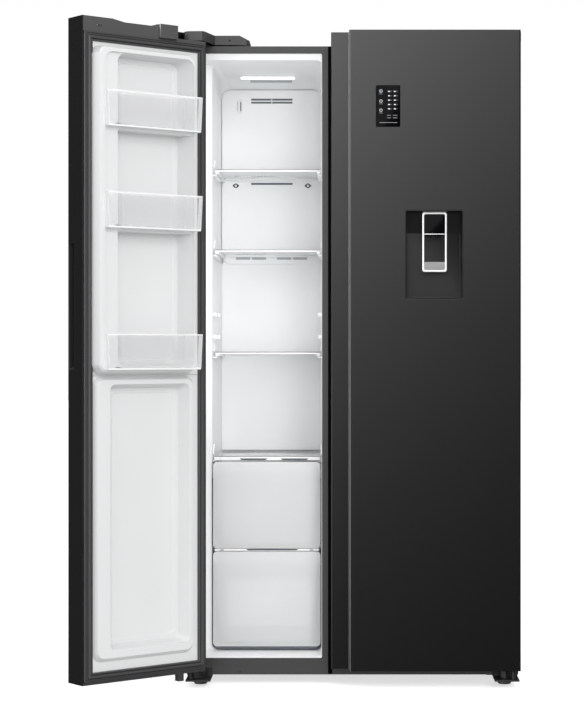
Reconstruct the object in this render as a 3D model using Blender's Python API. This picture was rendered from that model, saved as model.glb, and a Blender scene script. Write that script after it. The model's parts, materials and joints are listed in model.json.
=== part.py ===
"""Side by side refrigerator: cabinet, freezer door (standing open), fridge door (closed) and what is inside.

All pieces are drawn in the cabinet's own frame, in metres: X runs right and is 0 on the cabinet's
middle, Y runs back and is 0 on the front plane of the closed doors, Z runs up and is 0 on the floor.
"""
import bmesh
import bpy
from math import cos, pi, radians, sin
from mathutils import Vector

# ---------------------------------------------------------------- driving dimensions
WIDTH = 0.908
DEPTH = 0.647
DOOR_BOTTOM = 0.048
DOOR_TOP = 1.778
CABINET_BOTTOM = 0.0255
CABINET_TOP = 1.746
DOOR_BACK = 0.074            # inner plane of both doors
CABINET_FRONT = 0.086        # the gaskets fill the space between the two
OPEN_ANGLE = radians(140.5)  # how far the freezer door stands open
HINGE_X = 0.4365
HINGE_Y = 0.0306
SIDE = WIDTH / 2
FREEZER_DOOR_RIGHT = -0.066
FRIDGE_DOOR_LEFT = -0.0584
FRIDGE_PANEL_LEFT = -0.009
GAP = 0.0003                 # left between pieces that touch
SHEET = 0.0015               # steel sheet
PLASTIC = 0.0025             # moulded liner
FRAME_BACK = CABINET_FRONT + 0.0028
REAR = DEPTH - 0.0072        # inner face of the back panel
MACHINE_FRONT = 0.521        # machine compartment under the rear of the liners
MACHINE_TOP = 0.290
OPENING_BOTTOM = 0.0707
OPENING_TOP = 1.7263
FREEZER_OPENING = (-0.409, -0.0835)
FRIDGE_OPENING = (-0.020, 0.409)
FREEZER_WALLS = (-0.3885, -0.0865)
FRIDGE_WALLS = (-0.0165, 0.4055)
DUCT_Y = 0.494               # front face of the freezer's rear duct cover
FREEZER_MIDDLE = -0.2372
SHELF_FRONT = 0.190
FREEZER_SHELF_Z = {"upper": 1.4186, "middle": 1.1947, "lower": 0.9092}
DRAWER_COVER_Z = 0.620
FREEZER_DRAWERS = {            # bottom, top, rail
    "upper": (0.3642, 0.6040, 0.5760),
    "lower": (0.0929, 0.3560, 0.3300),
}
FRIDGE_SHELF_Z = {"upper": 1.4000, "lower": 0.9800}
CRISPER_COVER_Z = 0.5700
CRISPER = (0.3300, 0.5560, 0.5350)
RAIL_UNDER_SHELF = 0.0123    # from the top of a shelf down to the rail it lies on
BIN_Z = {"upper": 1.4870, "middle": 1.2250, "lower": 0.8580}
BIN_HEIGHT = 0.098
FOOTPRINT_MIDDLE = (-0.1440, 0.1928)   # of everything, with the freezer door standing open


# ---------------------------------------------------------------- helpers
def axis_at(name, x, y, z, parent=None):
    """An empty on a joint's axis, at a place given in the cabinet's frame."""
    made = bpy.data.objects.new(name, None)
    bpy.context.scene.collection.objects.link(made)
    made["place"] = (x, y, z)
    made.parent = parent
    made.location = Vector((x, y, z)) - (Vector(parent["place"]) if parent else Vector())
    return made


def material(name, colour, roughness, metallic=0.0, clear=0.0, glow=0.0):
    made = bpy.data.materials.new(name)
    made.use_nodes = True
    shader = made.node_tree.nodes["Principled BSDF"]
    shader.inputs["Base Color"].default_value = (*colour, 1.0)
    shader.inputs["Roughness"].default_value = roughness
    shader.inputs["Metallic"].default_value = metallic
    shader.inputs["Transmission Weight"].default_value = clear
    shader.inputs["Emission Color"].default_value = (1.0, 1.0, 1.0, 1.0)
    shader.inputs["Emission Strength"].default_value = glow
    made.diffuse_color = (*colour, 1.0)
    return made


def piece(name, shape, surface, holder):
    """An object from a bmesh drawn in the cabinet's frame with both doors closed, riding on a holder."""
    bmesh.ops.remove_doubles(shape, verts=shape.verts, dist=1e-6)
    bmesh.ops.recalc_face_normals(shape, faces=shape.faces)
    mesh = bpy.data.meshes.new(name)
    shape.to_mesh(mesh)
    shape.free()
    mesh.materials.append(surface)
    made = bpy.data.objects.new(name, mesh)
    bpy.context.scene.collection.objects.link(made)
    made.parent = holder
    made.location = -Vector(holder["place"])
    return made


def boolean(target, shape, operation):
    """Joins a shape to a piece, or cuts it out, with a hidden helper that rides on the same holder."""
    name = f"{target.name}.{operation.lower()}.{len(target.modifiers)}"
    helper = piece(name, shape, steel, target.parent)
    helper.hide_render = True
    helper.display_type = "WIRE"
    step = target.modifiers.new(operation.lower(), "BOOLEAN")
    step.operation = operation
    step.solver = "EXACT"
    step.object = helper
    return target


def cut(target, shape):
    return boolean(target, shape, "DIFFERENCE")


def join(target, shape):
    return boolean(target, shape, "UNION")


def point(axis, a, b, c):
    """A point of an outline (a, b) at the height c along the axis that the outline is swept on."""
    return {"x": (c, a, b), "y": (a, c, b), "z": (a, b, c)}[axis]


def rounded(a0, a1, b0, b1, radius, steps=3):
    """A rectangle with arcs for corners, as points in order."""
    centres = [
        (a1 - radius, b1 - radius, 0),
        (a0 + radius, b1 - radius, 1),
        (a0 + radius, b0 + radius, 2),
        (a1 - radius, b0 + radius, 3),
    ]
    return [
        (a + radius * cos((turn + k / steps) * pi / 2), b + radius * sin((turn + k / steps) * pi / 2))
        for a, b, turn in centres
        for k in range(steps + 1)
    ]


def circle(a, b, radius, steps=16):
    turns = [2 * pi * k / steps for k in range(steps)]
    return [(a + radius * cos(turn), b + radius * sin(turn)) for turn in turns]


def loft(axis, rings, shape=None):
    """A closed skin through rings of equal point counts, each (outline, height), with flat ends."""
    shape = shape or bmesh.new()
    loops = [[shape.verts.new(point(axis, a, b, height)) for a, b in outline] for outline, height in rings]
    for near, far in zip(loops, loops[1:]):
        for k in range(len(near)):
            n = (k + 1) % len(near)
            shape.faces.new((near[k], near[n], far[n], far[k]))
    shape.faces.new(reversed(loops[0]))
    shape.faces.new(loops[-1])
    return shape


def band(rings, axis):
    """A closed skin through rings that come back to the first one: a frame or a wheel with a hole."""
    shape = bmesh.new()
    loops = [[shape.verts.new(point(axis, a, b, height)) for a, b in outline] for outline, height in rings]
    for near, far in zip(loops, loops[1:] + loops[:1]):
        for k in range(len(near)):
            n = (k + 1) % len(near)
            shape.faces.new((near[k], near[n], far[n], far[k]))
    return shape


def prism(axis, outline, low, high, shape=None):
    return loft(axis, [(outline, low), (outline, high)], shape)


def block(x0, x1, y0, y1, z0, z1, shape=None):
    return prism("z", [(x0, y0), (x1, y0), (x1, y1), (x0, y1)], z0, z1, shape)


def blocks(boxes):
    shape = bmesh.new()
    for box in boxes:
        block(*box, shape=shape)
    return shape


def rod(axis, a, b, radius, low, high, steps=16, shape=None):
    return prism(axis, circle(a, b, radius, steps), low, high, shape)


def turned(x, y, profile, steps=20):
    """A round body on a vertical axis, from (radius, z) pairs listed bottom to top."""
    return loft("z", [(circle(x, y, radius, steps), z) for radius, z in profile])


def sheet_outline(path, thickness):
    """A strip of even thickness to the left of a path, as one outline."""
    points = [Vector(p) for p in path]
    offset = []
    for k, here in enumerate(points):
        before = (here - points[k - 1]).normalized() if k else None
        after = (points[k + 1] - here).normalized() if k + 1 < len(points) else None
        normals = [Vector((-d.y, d.x)) for d in (before, after) if d]
        mean = sum(normals, Vector((0, 0))).normalized()
        offset.append(here + mean * thickness / mean.dot(normals[0]))
    return [tuple(p) for p in points] + [tuple(p) for p in reversed(offset)]


def tub(axis, inside, wall):
    """A moulded tub open at its first ring: inside rings are (a0, a1, b0, b1, radius, height)."""
    inner = [(rounded(*ring[:5]), ring[5]) for ring in inside]
    return loft(axis, [*reversed(grown(inside, wall)), *inner])


def grown(inside, wall):
    """A tub's rings moved outward by its wall; all but the mouth go deeper by it too."""
    deeper = wall if inside[-1][5] > inside[0][5] else -wall
    return [
        (rounded(a0 - wall, a1 + wall, b0 - wall, b1 + wall, radius + wall), height + (deeper if k else 0))
        for k, (a0, a1, b0, b1, radius, height) in enumerate(inside)
    ]


def filled(axis, inside, wall):
    """The solid that a tub's outer surface encloses, grown by the gap: it cuts the tub's seat out of foam."""
    rings = grown(inside, wall + GAP)
    mouth, height = rings[0]
    return loft(axis, [(mouth, height - 0.02), *rings])


def pipe(path, radius, steps=8):
    """A round rod along straight stretches of one height, mitred where they meet; it may end upright."""
    shape = bmesh.new()
    loops = []
    for k, here in enumerate(path):
        back = (here - path[max(k - 1, 0)]).normalized()
        ahead = (path[min(k + 1, len(path) - 1)] - here).normalized()
        along = (back + ahead).normalized()
        level = Vector((0, 1, 0)) if ahead.z or back.z else Vector((0, 0, 1))
        across = along.cross(level).normalized()
        over = across.cross(along)
        reach = radius / along.dot(ahead if ahead.length else back)
        turns = [2 * pi * n / steps for n in range(steps)]
        ring = [here + across * reach * cos(turn) + over * radius * sin(turn) for turn in turns]
        loops.append([shape.verts.new(place) for place in ring])
    for near, far in zip(loops, loops[1:]):
        for k in range(steps):
            n = (k + 1) % steps
            shape.faces.new((near[k], near[n], far[n], far[k]))
    shape.faces.new(reversed(loops[0]))
    shape.faces.new(loops[-1])
    return shape


# ---------------------------------------------------------------- scene, materials and holders
for leftover in list(bpy.data.objects):
    bpy.data.objects.remove(leftover)

black_steel = material("black_steel", (0.045, 0.045, 0.047), 0.32, 0.85)
dark_plastic = material("dark_plastic", (0.055, 0.055, 0.058), 0.5)
gasket_grey = material("gasket_grey", (0.10, 0.10, 0.105), 0.7)
white_plastic = material("white_plastic", (0.82, 0.83, 0.84), 0.4)
clear_plastic = material("clear_plastic", (0.90, 0.93, 0.94), 0.08, clear=0.9)
frosted_plastic = material("frosted_plastic", (0.88, 0.90, 0.92), 0.35, clear=0.5)
shelf_glass = material("shelf_glass", (0.86, 0.91, 0.90), 0.05, clear=0.9)
foam = material("foam", (0.80, 0.72, 0.50), 0.9)
steel = material("steel", (0.55, 0.56, 0.57), 0.35, 1.0)
chrome = material("chrome", (0.75, 0.75, 0.76), 0.12, 1.0)
compressor_black = material("compressor_black", (0.02, 0.02, 0.02), 0.45)
black_gloss = material("black_gloss", (0.008, 0.008, 0.009), 0.08)
lamp_cover = material("lamp_cover", (0.95, 0.96, 1.0), 0.3, glow=3.0)
galvanised = material("galvanised", (0.45, 0.46, 0.47), 0.5, 0.9)

cabinet = axis_at("cabinet", 0, 0, 0)
cabinet.location = (-FOOTPRINT_MIDDLE[0], -FOOTPRINT_MIDDLE[1], 0)
freezer_door = axis_at("freezer_door_axis", -HINGE_X, HINGE_Y, 0, cabinet)
freezer_door.rotation_euler.z = -OPEN_ANGLE
fridge_door = axis_at("fridge_door_axis", HINGE_X, HINGE_Y, 0, cabinet)


# ---------------------------------------------------------------- cabinet
FREEZER_CAVITY = [
    (-0.4075, -0.0850, 0.0722, 1.7248, 0.006, FRAME_BACK + GAP),
    (-0.4070, -0.0850, 0.0800, 1.7160, 0.012, 0.130),
    (-0.3900, -0.0850, 0.0810, 1.7155, 0.016, 0.160),
    (-0.3885, -0.0865, 0.0820, 1.7150, 0.020, 0.400),
    (-0.3860, -0.0890, 0.0820, 1.6810, 0.030, 0.500),
    (-0.3700, -0.1050, 0.3200, 1.6600, 0.010, 0.5002),
    (-0.3680, -0.1070, 0.3250, 1.6550, 0.010, 0.585),
]
FRIDGE_CAVITY = [
    (-0.0185, 0.4075, 0.0722, 1.7248, 0.006, FRAME_BACK + GAP),
    (-0.0180, 0.4070, 0.0800, 1.7160, 0.012, 0.130),
    (-0.0165, 0.4055, 0.0820, 1.7150, 0.020, 0.500),
    (-0.0160, 0.4050, 0.3200, 1.7145, 0.020, 0.5002),
    (-0.0120, 0.4010, 0.3250, 1.7050, 0.030, 0.585),
]


def cabinet_shell():
    """One folded sheet: left side, top and right side."""
    t = SHEET
    outline = [
        (-SIDE, CABINET_BOTTOM),
        (-SIDE + t, CABINET_BOTTOM),
        (-SIDE + t, CABINET_TOP - t),
        (SIDE - t, CABINET_TOP - t),
        (SIDE - t, CABINET_BOTTOM),
        (SIDE, CABINET_BOTTOM),
        (SIDE, CABINET_TOP),
        (-SIDE, CABINET_TOP),
    ]
    piece("cabinet_shell", prism("y", outline, FRAME_BACK + GAP, REAR - GAP), black_steel, cabinet)


def front_frame():
    """The face that both gaskets close on, with the two openings and the post between them."""
    plate = block(-SIDE, SIDE, CABINET_FRONT, FRAME_BACK, CABINET_BOTTOM, CABINET_TOP)
    made = piece("front_frame", plate, dark_plastic, cabinet)
    for left, right in (FREEZER_OPENING, FRIDGE_OPENING):
        window = rounded(left, right, OPENING_BOTTOM, OPENING_TOP, 0.004, 2)
        cut(made, prism("y", window, CABINET_FRONT - 0.01, FRAME_BACK + 0.01))


def rails(left, right, tops, front, rear, width=0.010, height=0.009):
    """Ledges on a liner's two side walls; each reaches into the wall so that it joins it."""
    bite = 0.0015
    return blocks(
        box
        for top in tops
        for box in (
            (left - bite, left + width, front, rear, top - height, top),
            (right - width, right + bite, front, rear, top - height, top),
        )
    )


def liners():
    freezer = piece("freezer_liner", tub("y", FREEZER_CAVITY, PLASTIC), white_plastic, cabinet)
    shelf_rails = [z - RAIL_UNDER_SHELF for z in (*FREEZER_SHELF_Z.values(), DRAWER_COVER_Z)]
    spare_rails = [1.0190, 0.9570]
    join(freezer, rails(*FREEZER_WALLS, [*shelf_rails, *spare_rails], 0.200, 0.385))
    drawer_rails = [rail for bottom, top, rail in FREEZER_DRAWERS.values()]
    join(freezer, rails(*FREEZER_WALLS, drawer_rails, 0.166, 0.385, width=0.0085))
    fridge = piece("fridge_liner", tub("y", FRIDGE_CAVITY, PLASTIC), white_plastic, cabinet)
    shelf_rails = [z - RAIL_UNDER_SHELF for z in (*FRIDGE_SHELF_Z.values(), CRISPER_COVER_Z)]
    join(fridge, rails(*FRIDGE_WALLS, shelf_rails, 0.220, 0.480))
    join(fridge, rails(*FRIDGE_WALLS, [CRISPER[2]], 0.220, 0.480, width=0.0085))


def cabinet_foam():
    inset = SHEET + GAP
    front, rear = FRAME_BACK + GAP, REAR - GAP
    core = block(-SIDE + inset, SIDE - inset, front, rear, CABINET_BOTTOM + 0.005, CABINET_TOP - inset)
    made = piece("cabinet_foam", core, foam, cabinet)
    cut(made, filled("y", FREEZER_CAVITY, PLASTIC))
    cut(made, filled("y", FRIDGE_CAVITY, PLASTIC))
    cut(made, block(-1, 1, MACHINE_FRONT, 1, -1, MACHINE_TOP))


def back_covers():
    sheet = block(-SIDE + 0.001, SIDE - 0.001, REAR, REAR + 0.0012, MACHINE_TOP + 0.001, CABINET_TOP - 0.0005)
    piece("back_panel", sheet, galvanised, cabinet)
    plate = block(-SIDE + 0.004, SIDE - 0.004, REAR, REAR + 0.0025, 0.030, MACHINE_TOP)
    cover = piece("machine_cover", plate, dark_plastic, cabinet)
    raised = rounded(-0.36, 0.36, 0.075, 0.265, 0.02)
    join(cover, prism("y", raised, REAR + 0.001, DEPTH))
    slot, pitch, count = 0.028, 0.080, 9
    first = -(pitch * (count - 1) + slot) / 2
    starts = [first + pitch * k for k in range(count)]
    cut(cover, blocks((x, x + slot, REAR - 0.01, DEPTH + 0.01, 0.10, 0.24) for x in starts))


cabinet_shell()
front_frame()
liners()
cabinet_foam()
back_covers()


# ---------------------------------------------------------------- machine compartment and air system
ROLLER_RADIUS = 0.014
ROLLER_Y = 0.600
ROLLER_X = 0.400
TRAY_BOTTOM = 0.0300


def base_pan():
    """Steel tray that carries the compressor and, under it, the forks and axles of the rear rollers."""
    tray = [
        (-0.4485, 0.4485, 0.5240, 0.6370, 0.004, 0.0460),
        (-0.4480, 0.4480, 0.5245, 0.6365, 0.004, TRAY_BOTTOM + SHEET),
    ]
    made = piece("base_pan", tub("z", tray, SHEET), galvanised, cabinet)
    cheek, fork = 0.0025, 0.0150
    for middle in (-ROLLER_X, ROLLER_X):
        for x in (middle - fork, middle + fork - cheek):
            join(made, block(x, x + cheek, ROLLER_Y - 0.010, ROLLER_Y + 0.010, 0.006, TRAY_BOTTOM + 0.001))
        low, high = middle - fork + 0.0005, middle + fork - 0.0010
        join(made, rod("x", ROLLER_Y, ROLLER_RADIUS, 0.004, low, high, 12))


def roller(name, side):
    holder = axis_at(f"{name}_axis", side * ROLLER_X, ROLLER_Y, ROLLER_RADIUS, cabinet)
    half, bore, chamfer = 0.0115, 0.0044, 0.001
    profile = [
        (bore, half), (bore, -half),
        (ROLLER_RADIUS - chamfer, -half), (ROLLER_RADIUS, -half + chamfer),
        (ROLLER_RADIUS, half - chamfer), (ROLLER_RADIUS - chamfer, half),
    ]
    rings = [(circle(ROLLER_Y, ROLLER_RADIUS, radius, 24), side * ROLLER_X + x) for radius, x in profile]
    piece(name, band(rings, "x"), dark_plastic, holder)


def compressor():
    profile = [
        (0.030, TRAY_BOTTOM + 0.0023), (0.046, 0.038), (0.052, 0.055), (0.052, 0.150),
        (0.046, 0.180), (0.026, 0.200), (0.010, 0.204),
    ]
    piece("compressor", turned(0.25, 0.582, profile), compressor_black, cabinet)


def condenser_coil():
    """One steel tube laid to and fro in the left half of the compartment."""
    left, right, level = -0.40, 0.10, 0.060
    path = []
    for lane in range(7):
        ends = (left, right) if lane % 2 == 0 else (right, left)
        path += [Vector((x, 0.545 + 0.012 * lane, level)) for x in ends]
    path.append(path[-1] + Vector((0, 0, 0.120)))
    piece("condenser_coil", pipe(path, 0.003), compressor_black, cabinet)


def drain_pan():
    inside = [(0.130, 0.370, 0.530, 0.632, 0.010, 0.240), (0.135, 0.365, 0.535, 0.627, 0.010, 0.2065)]
    piece("drain_pan", tub("z", inside, 0.002), dark_plastic, cabinet)


def evaporator():
    """Finned block behind the freezer's duct cover."""
    left, right, bottom, top = -0.350, -0.125, 0.46, 0.72
    fins = 14
    pitch = (right - left) / fins
    comb = [(left, bottom)]
    for k in range(fins):
        x = left + k * pitch
        comb += [(x + pitch * 0.5, bottom), (x + pitch * 0.5, top - 0.02), (x + pitch, top - 0.02)]
        if k < fins - 1:
            comb.append((x + pitch, bottom))
    comb[-1] = (right, top - 0.02)
    comb += [(right, top), (left, top)]
    piece("evaporator", prism("y", comb, 0.515, 0.578), galvanised, cabinet)


def evaporator_fan():
    z = 1.500
    holder = axis_at("evaporator_fan_axis", FREEZER_MIDDLE, 0.530, z, cabinet)
    blades = 5
    outline = []
    for k in range(blades):
        start = 2 * pi * k / blades
        for turn, radius in ((0.00, 0.016), (0.10, 0.052), (0.45, 0.058), (0.70, 0.052), (0.80, 0.016)):
            angle = start + turn * 2 * pi / blades
            outline.append((FREEZER_MIDDLE + radius * cos(angle), z + radius * sin(angle)))
    piece("evaporator_fan", prism("y", outline, 0.520, 0.540), dark_plastic, holder)
    piece("fan_motor", rod("y", FREEZER_MIDDLE, z, 0.022, 0.5403, 0.5845), dark_plastic, cabinet)


def freezer_duct_cover():
    plate = prism("y", rounded(-0.3845, -0.0905, 0.0840, 1.6790, 0.028, 4), DUCT_Y, DUCT_Y + 0.0035)
    made = piece("freezer_duct_cover", plate, white_plastic, cabinet)
    centre = FREEZER_MIDDLE
    slots = [
        (centre - 0.0609, centre - 0.001, 1.6482, 1.6540), (centre + 0.001, centre + 0.0609, 1.6482, 1.6540),
        (centre - 0.0609, centre - 0.001, 1.6393, 1.6450), (centre + 0.001, centre + 0.0609, 1.6393, 1.6450),
        (centre - 0.0609, centre + 0.0609, 1.4000, 1.4055),
        (-0.3434, -0.3009, 1.1805, 1.1870), (-0.2956, -0.2528, 1.1805, 1.1870),
        (-0.2212, -0.1785, 1.1805, 1.1870), (-0.1726, -0.1313, 1.1805, 1.1870),
    ]
    cut(made, blocks((x0, x1, DUCT_Y - 0.01, DUCT_Y + 0.02, z0, z1) for x0, x1, z0, z1 in slots))


def fridge_duct_cover():
    middle = 0.1945
    plate = prism("y", rounded(middle - 0.12, middle + 0.12, 0.360, 1.690, 0.015), 0.5790, 0.5842)
    made = piece("fridge_duct_cover", plate, white_plastic, cabinet)
    slots = [(middle - 0.06, middle + 0.06, 0.57, 0.60, z, z + 0.008) for z in (1.60, 1.30, 1.03, 0.75)]
    cut(made, blocks(slots))


def lamps():
    bar = prism("z", rounded(-0.3242, -0.1672, 0.398, 0.418, 0.008, 4), 1.6995, 1.7078)
    piece("freezer_lamp", bar, lamp_cover, cabinet)
    bar = prism("z", rounded(0.1145, 0.2745, 0.300, 0.322, 0.008, 4), 1.7065, 1.7148)
    piece("fridge_lamp", bar, lamp_cover, cabinet)


base_pan()
roller("roller_left", -1)
roller("roller_right", 1)
compressor()
condenser_coil()
drain_pan()
evaporator()
evaporator_fan()
freezer_duct_cover()
fridge_duct_cover()
lamps()


# ---------------------------------------------------------------- hinges and feet
FOOT_X = 0.4165
FOOT_Y = 0.0945
FOOT_RADIUS = 0.0185
ARM_Z = 0.0180               # under face of the bottom hinges' arms
ARM_THICKNESS = 0.0045
BRACKET = (0.3845, 0.4515)   # width of the bottom hinges
STEM_TOP = 0.0295
PIN_RADIUS = 0.0055
HINGE_COVER = [              # plan of the right one: round the pin, back past the door, over the cabinet
    (0.4060, 0.0080), (0.4430, 0.0105), (0.4520, 0.0165), (0.4565, 0.0280), (0.4540, 0.0400),
    (0.4460, 0.0495), (0.4395, 0.0530), (0.4395, 0.0720), (0.4535, 0.0880), (0.4535, 0.1800),
    (0.2830, 0.1800), (0.2830, 0.0960), (0.2900, 0.0880), (0.3770, 0.0880), (0.3998, 0.0140),
]
HINGE_COVER_INSIDE = [
    (0.4068, 0.0100), (0.4425, 0.0125), (0.4505, 0.0178), (0.4543, 0.0280), (0.4522, 0.0390),
    (0.4448, 0.0478), (0.4375, 0.0518), (0.4375, 0.0728), (0.4515, 0.0888), (0.4515, 0.1780),
    (0.2850, 0.1780), (0.2850, 0.0967), (0.2908, 0.0900), (0.3785, 0.0900), (0.4015, 0.0150),
]


def mirrored(side, outline):
    """An outline drawn for the right side, turned over for the left one."""
    return [(side * x, y) for x, y in outline]


def top_hinge(name, side):
    """Steel plate screwed to the cabinet top; its arm reaches forward over the door's corner to the pin."""
    z0, z1 = CABINET_TOP + GAP, CABINET_TOP + 0.0033
    arm = [
        (0.4300, 0.0180), (0.4430, 0.0180), (0.4500, 0.0290), (0.4430, 0.0420), (0.4340, 0.0480),
        (0.4340, 0.0900), (0.4480, 0.1050), (0.4480, 0.1700), (0.3000, 0.1700), (0.3000, 0.1050),
        (0.3900, 0.1050), (0.4080, 0.0600),
    ]
    made = piece(f"hinge_plate_{name}", prism("z", mirrored(side, arm), z0, z1), steel, cabinet)
    join(made, rod("z", side * HINGE_X, HINGE_Y, PIN_RADIUS, CABINET_TOP - 0.016, z1 - 0.001))
    low, deck, wall = z1 + GAP, DOOR_TOP - 0.0025, 0.002
    outside = prism("z", mirrored(side, HINGE_COVER), low, deck)
    cover = piece(f"hinge_cover_{name}", outside, dark_plastic, cabinet)
    cut(cover, prism("z", mirrored(side, HINGE_COVER_INSIDE), low - 0.01, deck - wall))
    above, lower = deck + 0.01, deck - 0.012
    slope = [(0.330, above), (0.309, deck), (0.286, lower), (0.270, lower), (0.270, above)]
    cut(cover, prism("y", mirrored(side, slope), 0.05, 0.20))


def bottom_hinge(name, side):
    """Bracket bolted to the front frame: an arm under the door with the pin, and a boss beside it."""
    x0, x1 = sorted(side * x for x in BRACKET)
    top = ARM_Z + ARM_THICKNESS
    arm = block(x0, x1, 0.012, 0.118, ARM_Z, top)
    made = piece(f"bottom_hinge_{name}", arm, compressor_black, cabinet)
    join(made, block(x0, x1, 0.0825, CABINET_FRONT - GAP, ARM_Z, 0.0445))
    join(made, rod("z", side * HINGE_X, HINGE_Y, PIN_RADIUS, ARM_Z + 0.001, DOOR_BOTTOM + 0.014))
    join(made, rod("z", side * FOOT_X, 0.0640, 0.0172, ARM_Z - 0.0005, 0.0400))
    for x, z in ((0.3890, 0.0260), (0.4455, 0.0300), (0.4385, 0.0270)):
        join(made, rod("y", side * x, z, 0.0045, 0.0775, 0.0835, 10))
    cut(made, rod("z", side * FOOT_X, FOOT_Y, 0.0052, 0.0, 0.0254))
    return made


def foot(name, side):
    """Levelling foot: a pad, a hexagon to turn it by and a stem in the bracket's hole."""
    holder = axis_at(f"{name}_axis", side * FOOT_X, FOOT_Y, 0, cabinet)
    profile = [
        (FOOT_RADIUS - 0.0020, 0.0), (FOOT_RADIUS, 0.0030), (FOOT_RADIUS, 0.0120),
        (FOOT_RADIUS - 0.0040, 0.0145),
    ]
    made = piece(name, turned(side * FOOT_X, FOOT_Y, profile, 18), dark_plastic, holder)
    join(made, rod("z", side * FOOT_X, FOOT_Y, 0.0100, 0.0100, ARM_Z - 0.0010, 6))
    join(made, rod("z", side * FOOT_X, FOOT_Y, 0.0045, 0.0120, STEM_TOP, 12))


for word, sign in (("left", -1), ("right", 1)):
    top_hinge(word, sign)
    bottom_hinge(word, sign)
    foot(f"foot_{word}", sign)


# ---------------------------------------------------------------- shelves and drawers
def shelf(name, x0, x1, front, rear, top, holder, surface=shelf_glass):
    """Glass plate in a moulded rim: the rim is deeper than the plate and hangs below it on all sides."""
    rim, plate, depth = 0.011, 0.0045, 0.012
    body = block(x0, x1, front, rear, top - depth, top)
    made = piece(name, body, surface, holder)
    cut(made, block(x0 + rim, x1 - rim, front + rim, rear - rim, top - depth - 0.01, top - plate))
    return made


def drawer(name, x0, x1, front, rear, heights, holder):
    """Front panel and a tapered tub hung from a flat flange that runs on the liner's rails."""
    bottom, top, rail = heights
    panel = prism("y", rounded(x0, x1, bottom, top, 0.010), front, front + 0.0035)
    made = piece(name, panel, frosted_plastic, holder)
    flange, wall, taper = 0.0105, PLASTIC, 0.012
    floor, under, deck = bottom + 0.012, rail + GAP, rail + GAP + PLASTIC

    def ring(inset, height, behind=0.0):
        y0, y1 = front + 0.003 + behind, rear - 1.15 * inset
        return rounded(x0 + 0.001 + inset, x1 - 0.001 - inset, y0, y1, 0.002), height

    rings = [
        ring(flange + taper, floor),
        ring(flange, under),
        ring(0, under),
        ring(0, deck),
        ring(flange + wall, deck, wall),
        ring(flange + taper + wall, floor + wall, wall),
    ]
    join(made, loft("z", rings))


def freezer_inside():
    x0, x1, rear = -0.3835, -0.0895, 0.486
    for word, top in FREEZER_SHELF_Z.items():
        holder = axis_at(f"freezer_shelf_{word}_axis", (x0 + x1) / 2, SHELF_FRONT, top, cabinet)
        shelf(f"freezer_shelf_{word}", x0, x1, SHELF_FRONT, rear, top, holder)
    cover = shelf("freezer_drawer_cover", x0, x1, 0.158, rear, DRAWER_COVER_Z, cabinet)
    slot_low, slot_high = DRAWER_COVER_Z - 0.0130, DRAWER_COVER_Z - 0.0075
    cut(cover, blocks((x, x + 0.078, 0.150, 0.1665, slot_low, slot_high) for x in (-0.314, -0.200)))
    for word, heights in FREEZER_DRAWERS.items():
        holder = axis_at(f"freezer_drawer_{word}_axis", (x0 + x1) / 2, 0.150, heights[0], cabinet)
        drawer(f"freezer_drawer_{word}", -0.3866, -0.0887, 0.150, 0.470, heights, holder)


def fridge_inside():
    x0, x1 = -0.0115, 0.4005
    for word, top in FRIDGE_SHELF_Z.items():
        shelf(f"fridge_shelf_{word}", x0, x1, 0.215, 0.560, top, cabinet)
    shelf("crisper_cover", x0, x1, 0.200, 0.498, CRISPER_COVER_Z, cabinet)
    drawer("crisper_drawer", -0.0145, 0.4035, 0.195, 0.480, CRISPER, cabinet)


freezer_inside()
fridge_inside()


# ---------------------------------------------------------------- what both doors are made of
FLANGE_UNDER = DOOR_BACK - 0.0023      # under face of a door liner's flange
CAP_LOW = 1.7374                       # under face of the top caps
CAP_HIGH = 0.0556                      # top face of the bottom caps
STEP = CABINET_TOP - 0.0005            # floor of the step that each top hinge sits in


def embossed(flange, outer, inner, depths, slope=0.006):
    """A moulded sheet: flat flange, ridge from the outer outline to the inner one, recessed floor."""
    crest, floor = depths
    sheet = DOOR_BACK - FLANGE_UNDER

    def ring(outline, inset, radius, y):
        x0, x1, z0, z1 = outline
        return rounded(x0 + inset, x1 - inset, z0 + inset, z1 - inset, radius), y

    seen = [
        ring(flange, 0, 0.001, DOOR_BACK),
        ring(outer, 0, 0.024, DOOR_BACK),
        ring(outer, slope, 0.020, crest),
        ring(inner, 0, 0.016, crest),
        ring(inner, slope, 0.014, floor),
    ]
    hidden = [
        ring(flange, 0, 0.001, FLANGE_UNDER),
        ring(outer, sheet, 0.022, FLANGE_UNDER),
        ring(outer, slope + sheet, 0.018, crest - sheet),
        ring(inner, -sheet, 0.018, crest - sheet),
        ring(inner, slope - sheet, 0.016, floor - sheet),
    ]
    return loft("y", [*reversed(hidden), *seen])


def door_foam(name, core, zones, holder):
    """Foam block with ridges that fill the liner's hollow ridges and a seat for each recess."""
    room = DOOR_BACK - FLANGE_UNDER + GAP
    made = piece(name, core, foam, holder)
    for outer, inner, (crest, floor) in zones:
        x0, x1, z0, z1 = outer
        side = 0.0068 + room
        ridge = rounded(x0 + side, x1 - side, z0 + side, z1 - side, 0.018)
        join(made, prism("y", ridge, floor, crest - room))
        x0, x1, z0, z1 = inner
        seat = rounded(x0 - room, x1 + room, z0 - room, z1 + room, 0.018)
        cut(made, prism("y", seat, floor - room, crest + 0.01))
    return made


def gasket(name, outer, holder):
    """Closed frame with a thin base and a soft bulb that meets the front frame."""
    x0, x1, z0, z1 = outer

    def ring(inset, y):
        return rounded(x0 + inset, x1 - inset, z0 + inset, z1 - inset, 0.003, 2), y

    base, step, tip = DOOR_BACK + GAP, DOOR_BACK + 0.0045, CABINET_FRONT - GAP
    around = [(0, base), (0, step), (0.0088, step), (0.0088, tip), (0.0245, tip), (0.0245, base)]
    piece(name, band([ring(inset, y) for inset, y in around], "y"), gasket_grey, holder)


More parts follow.
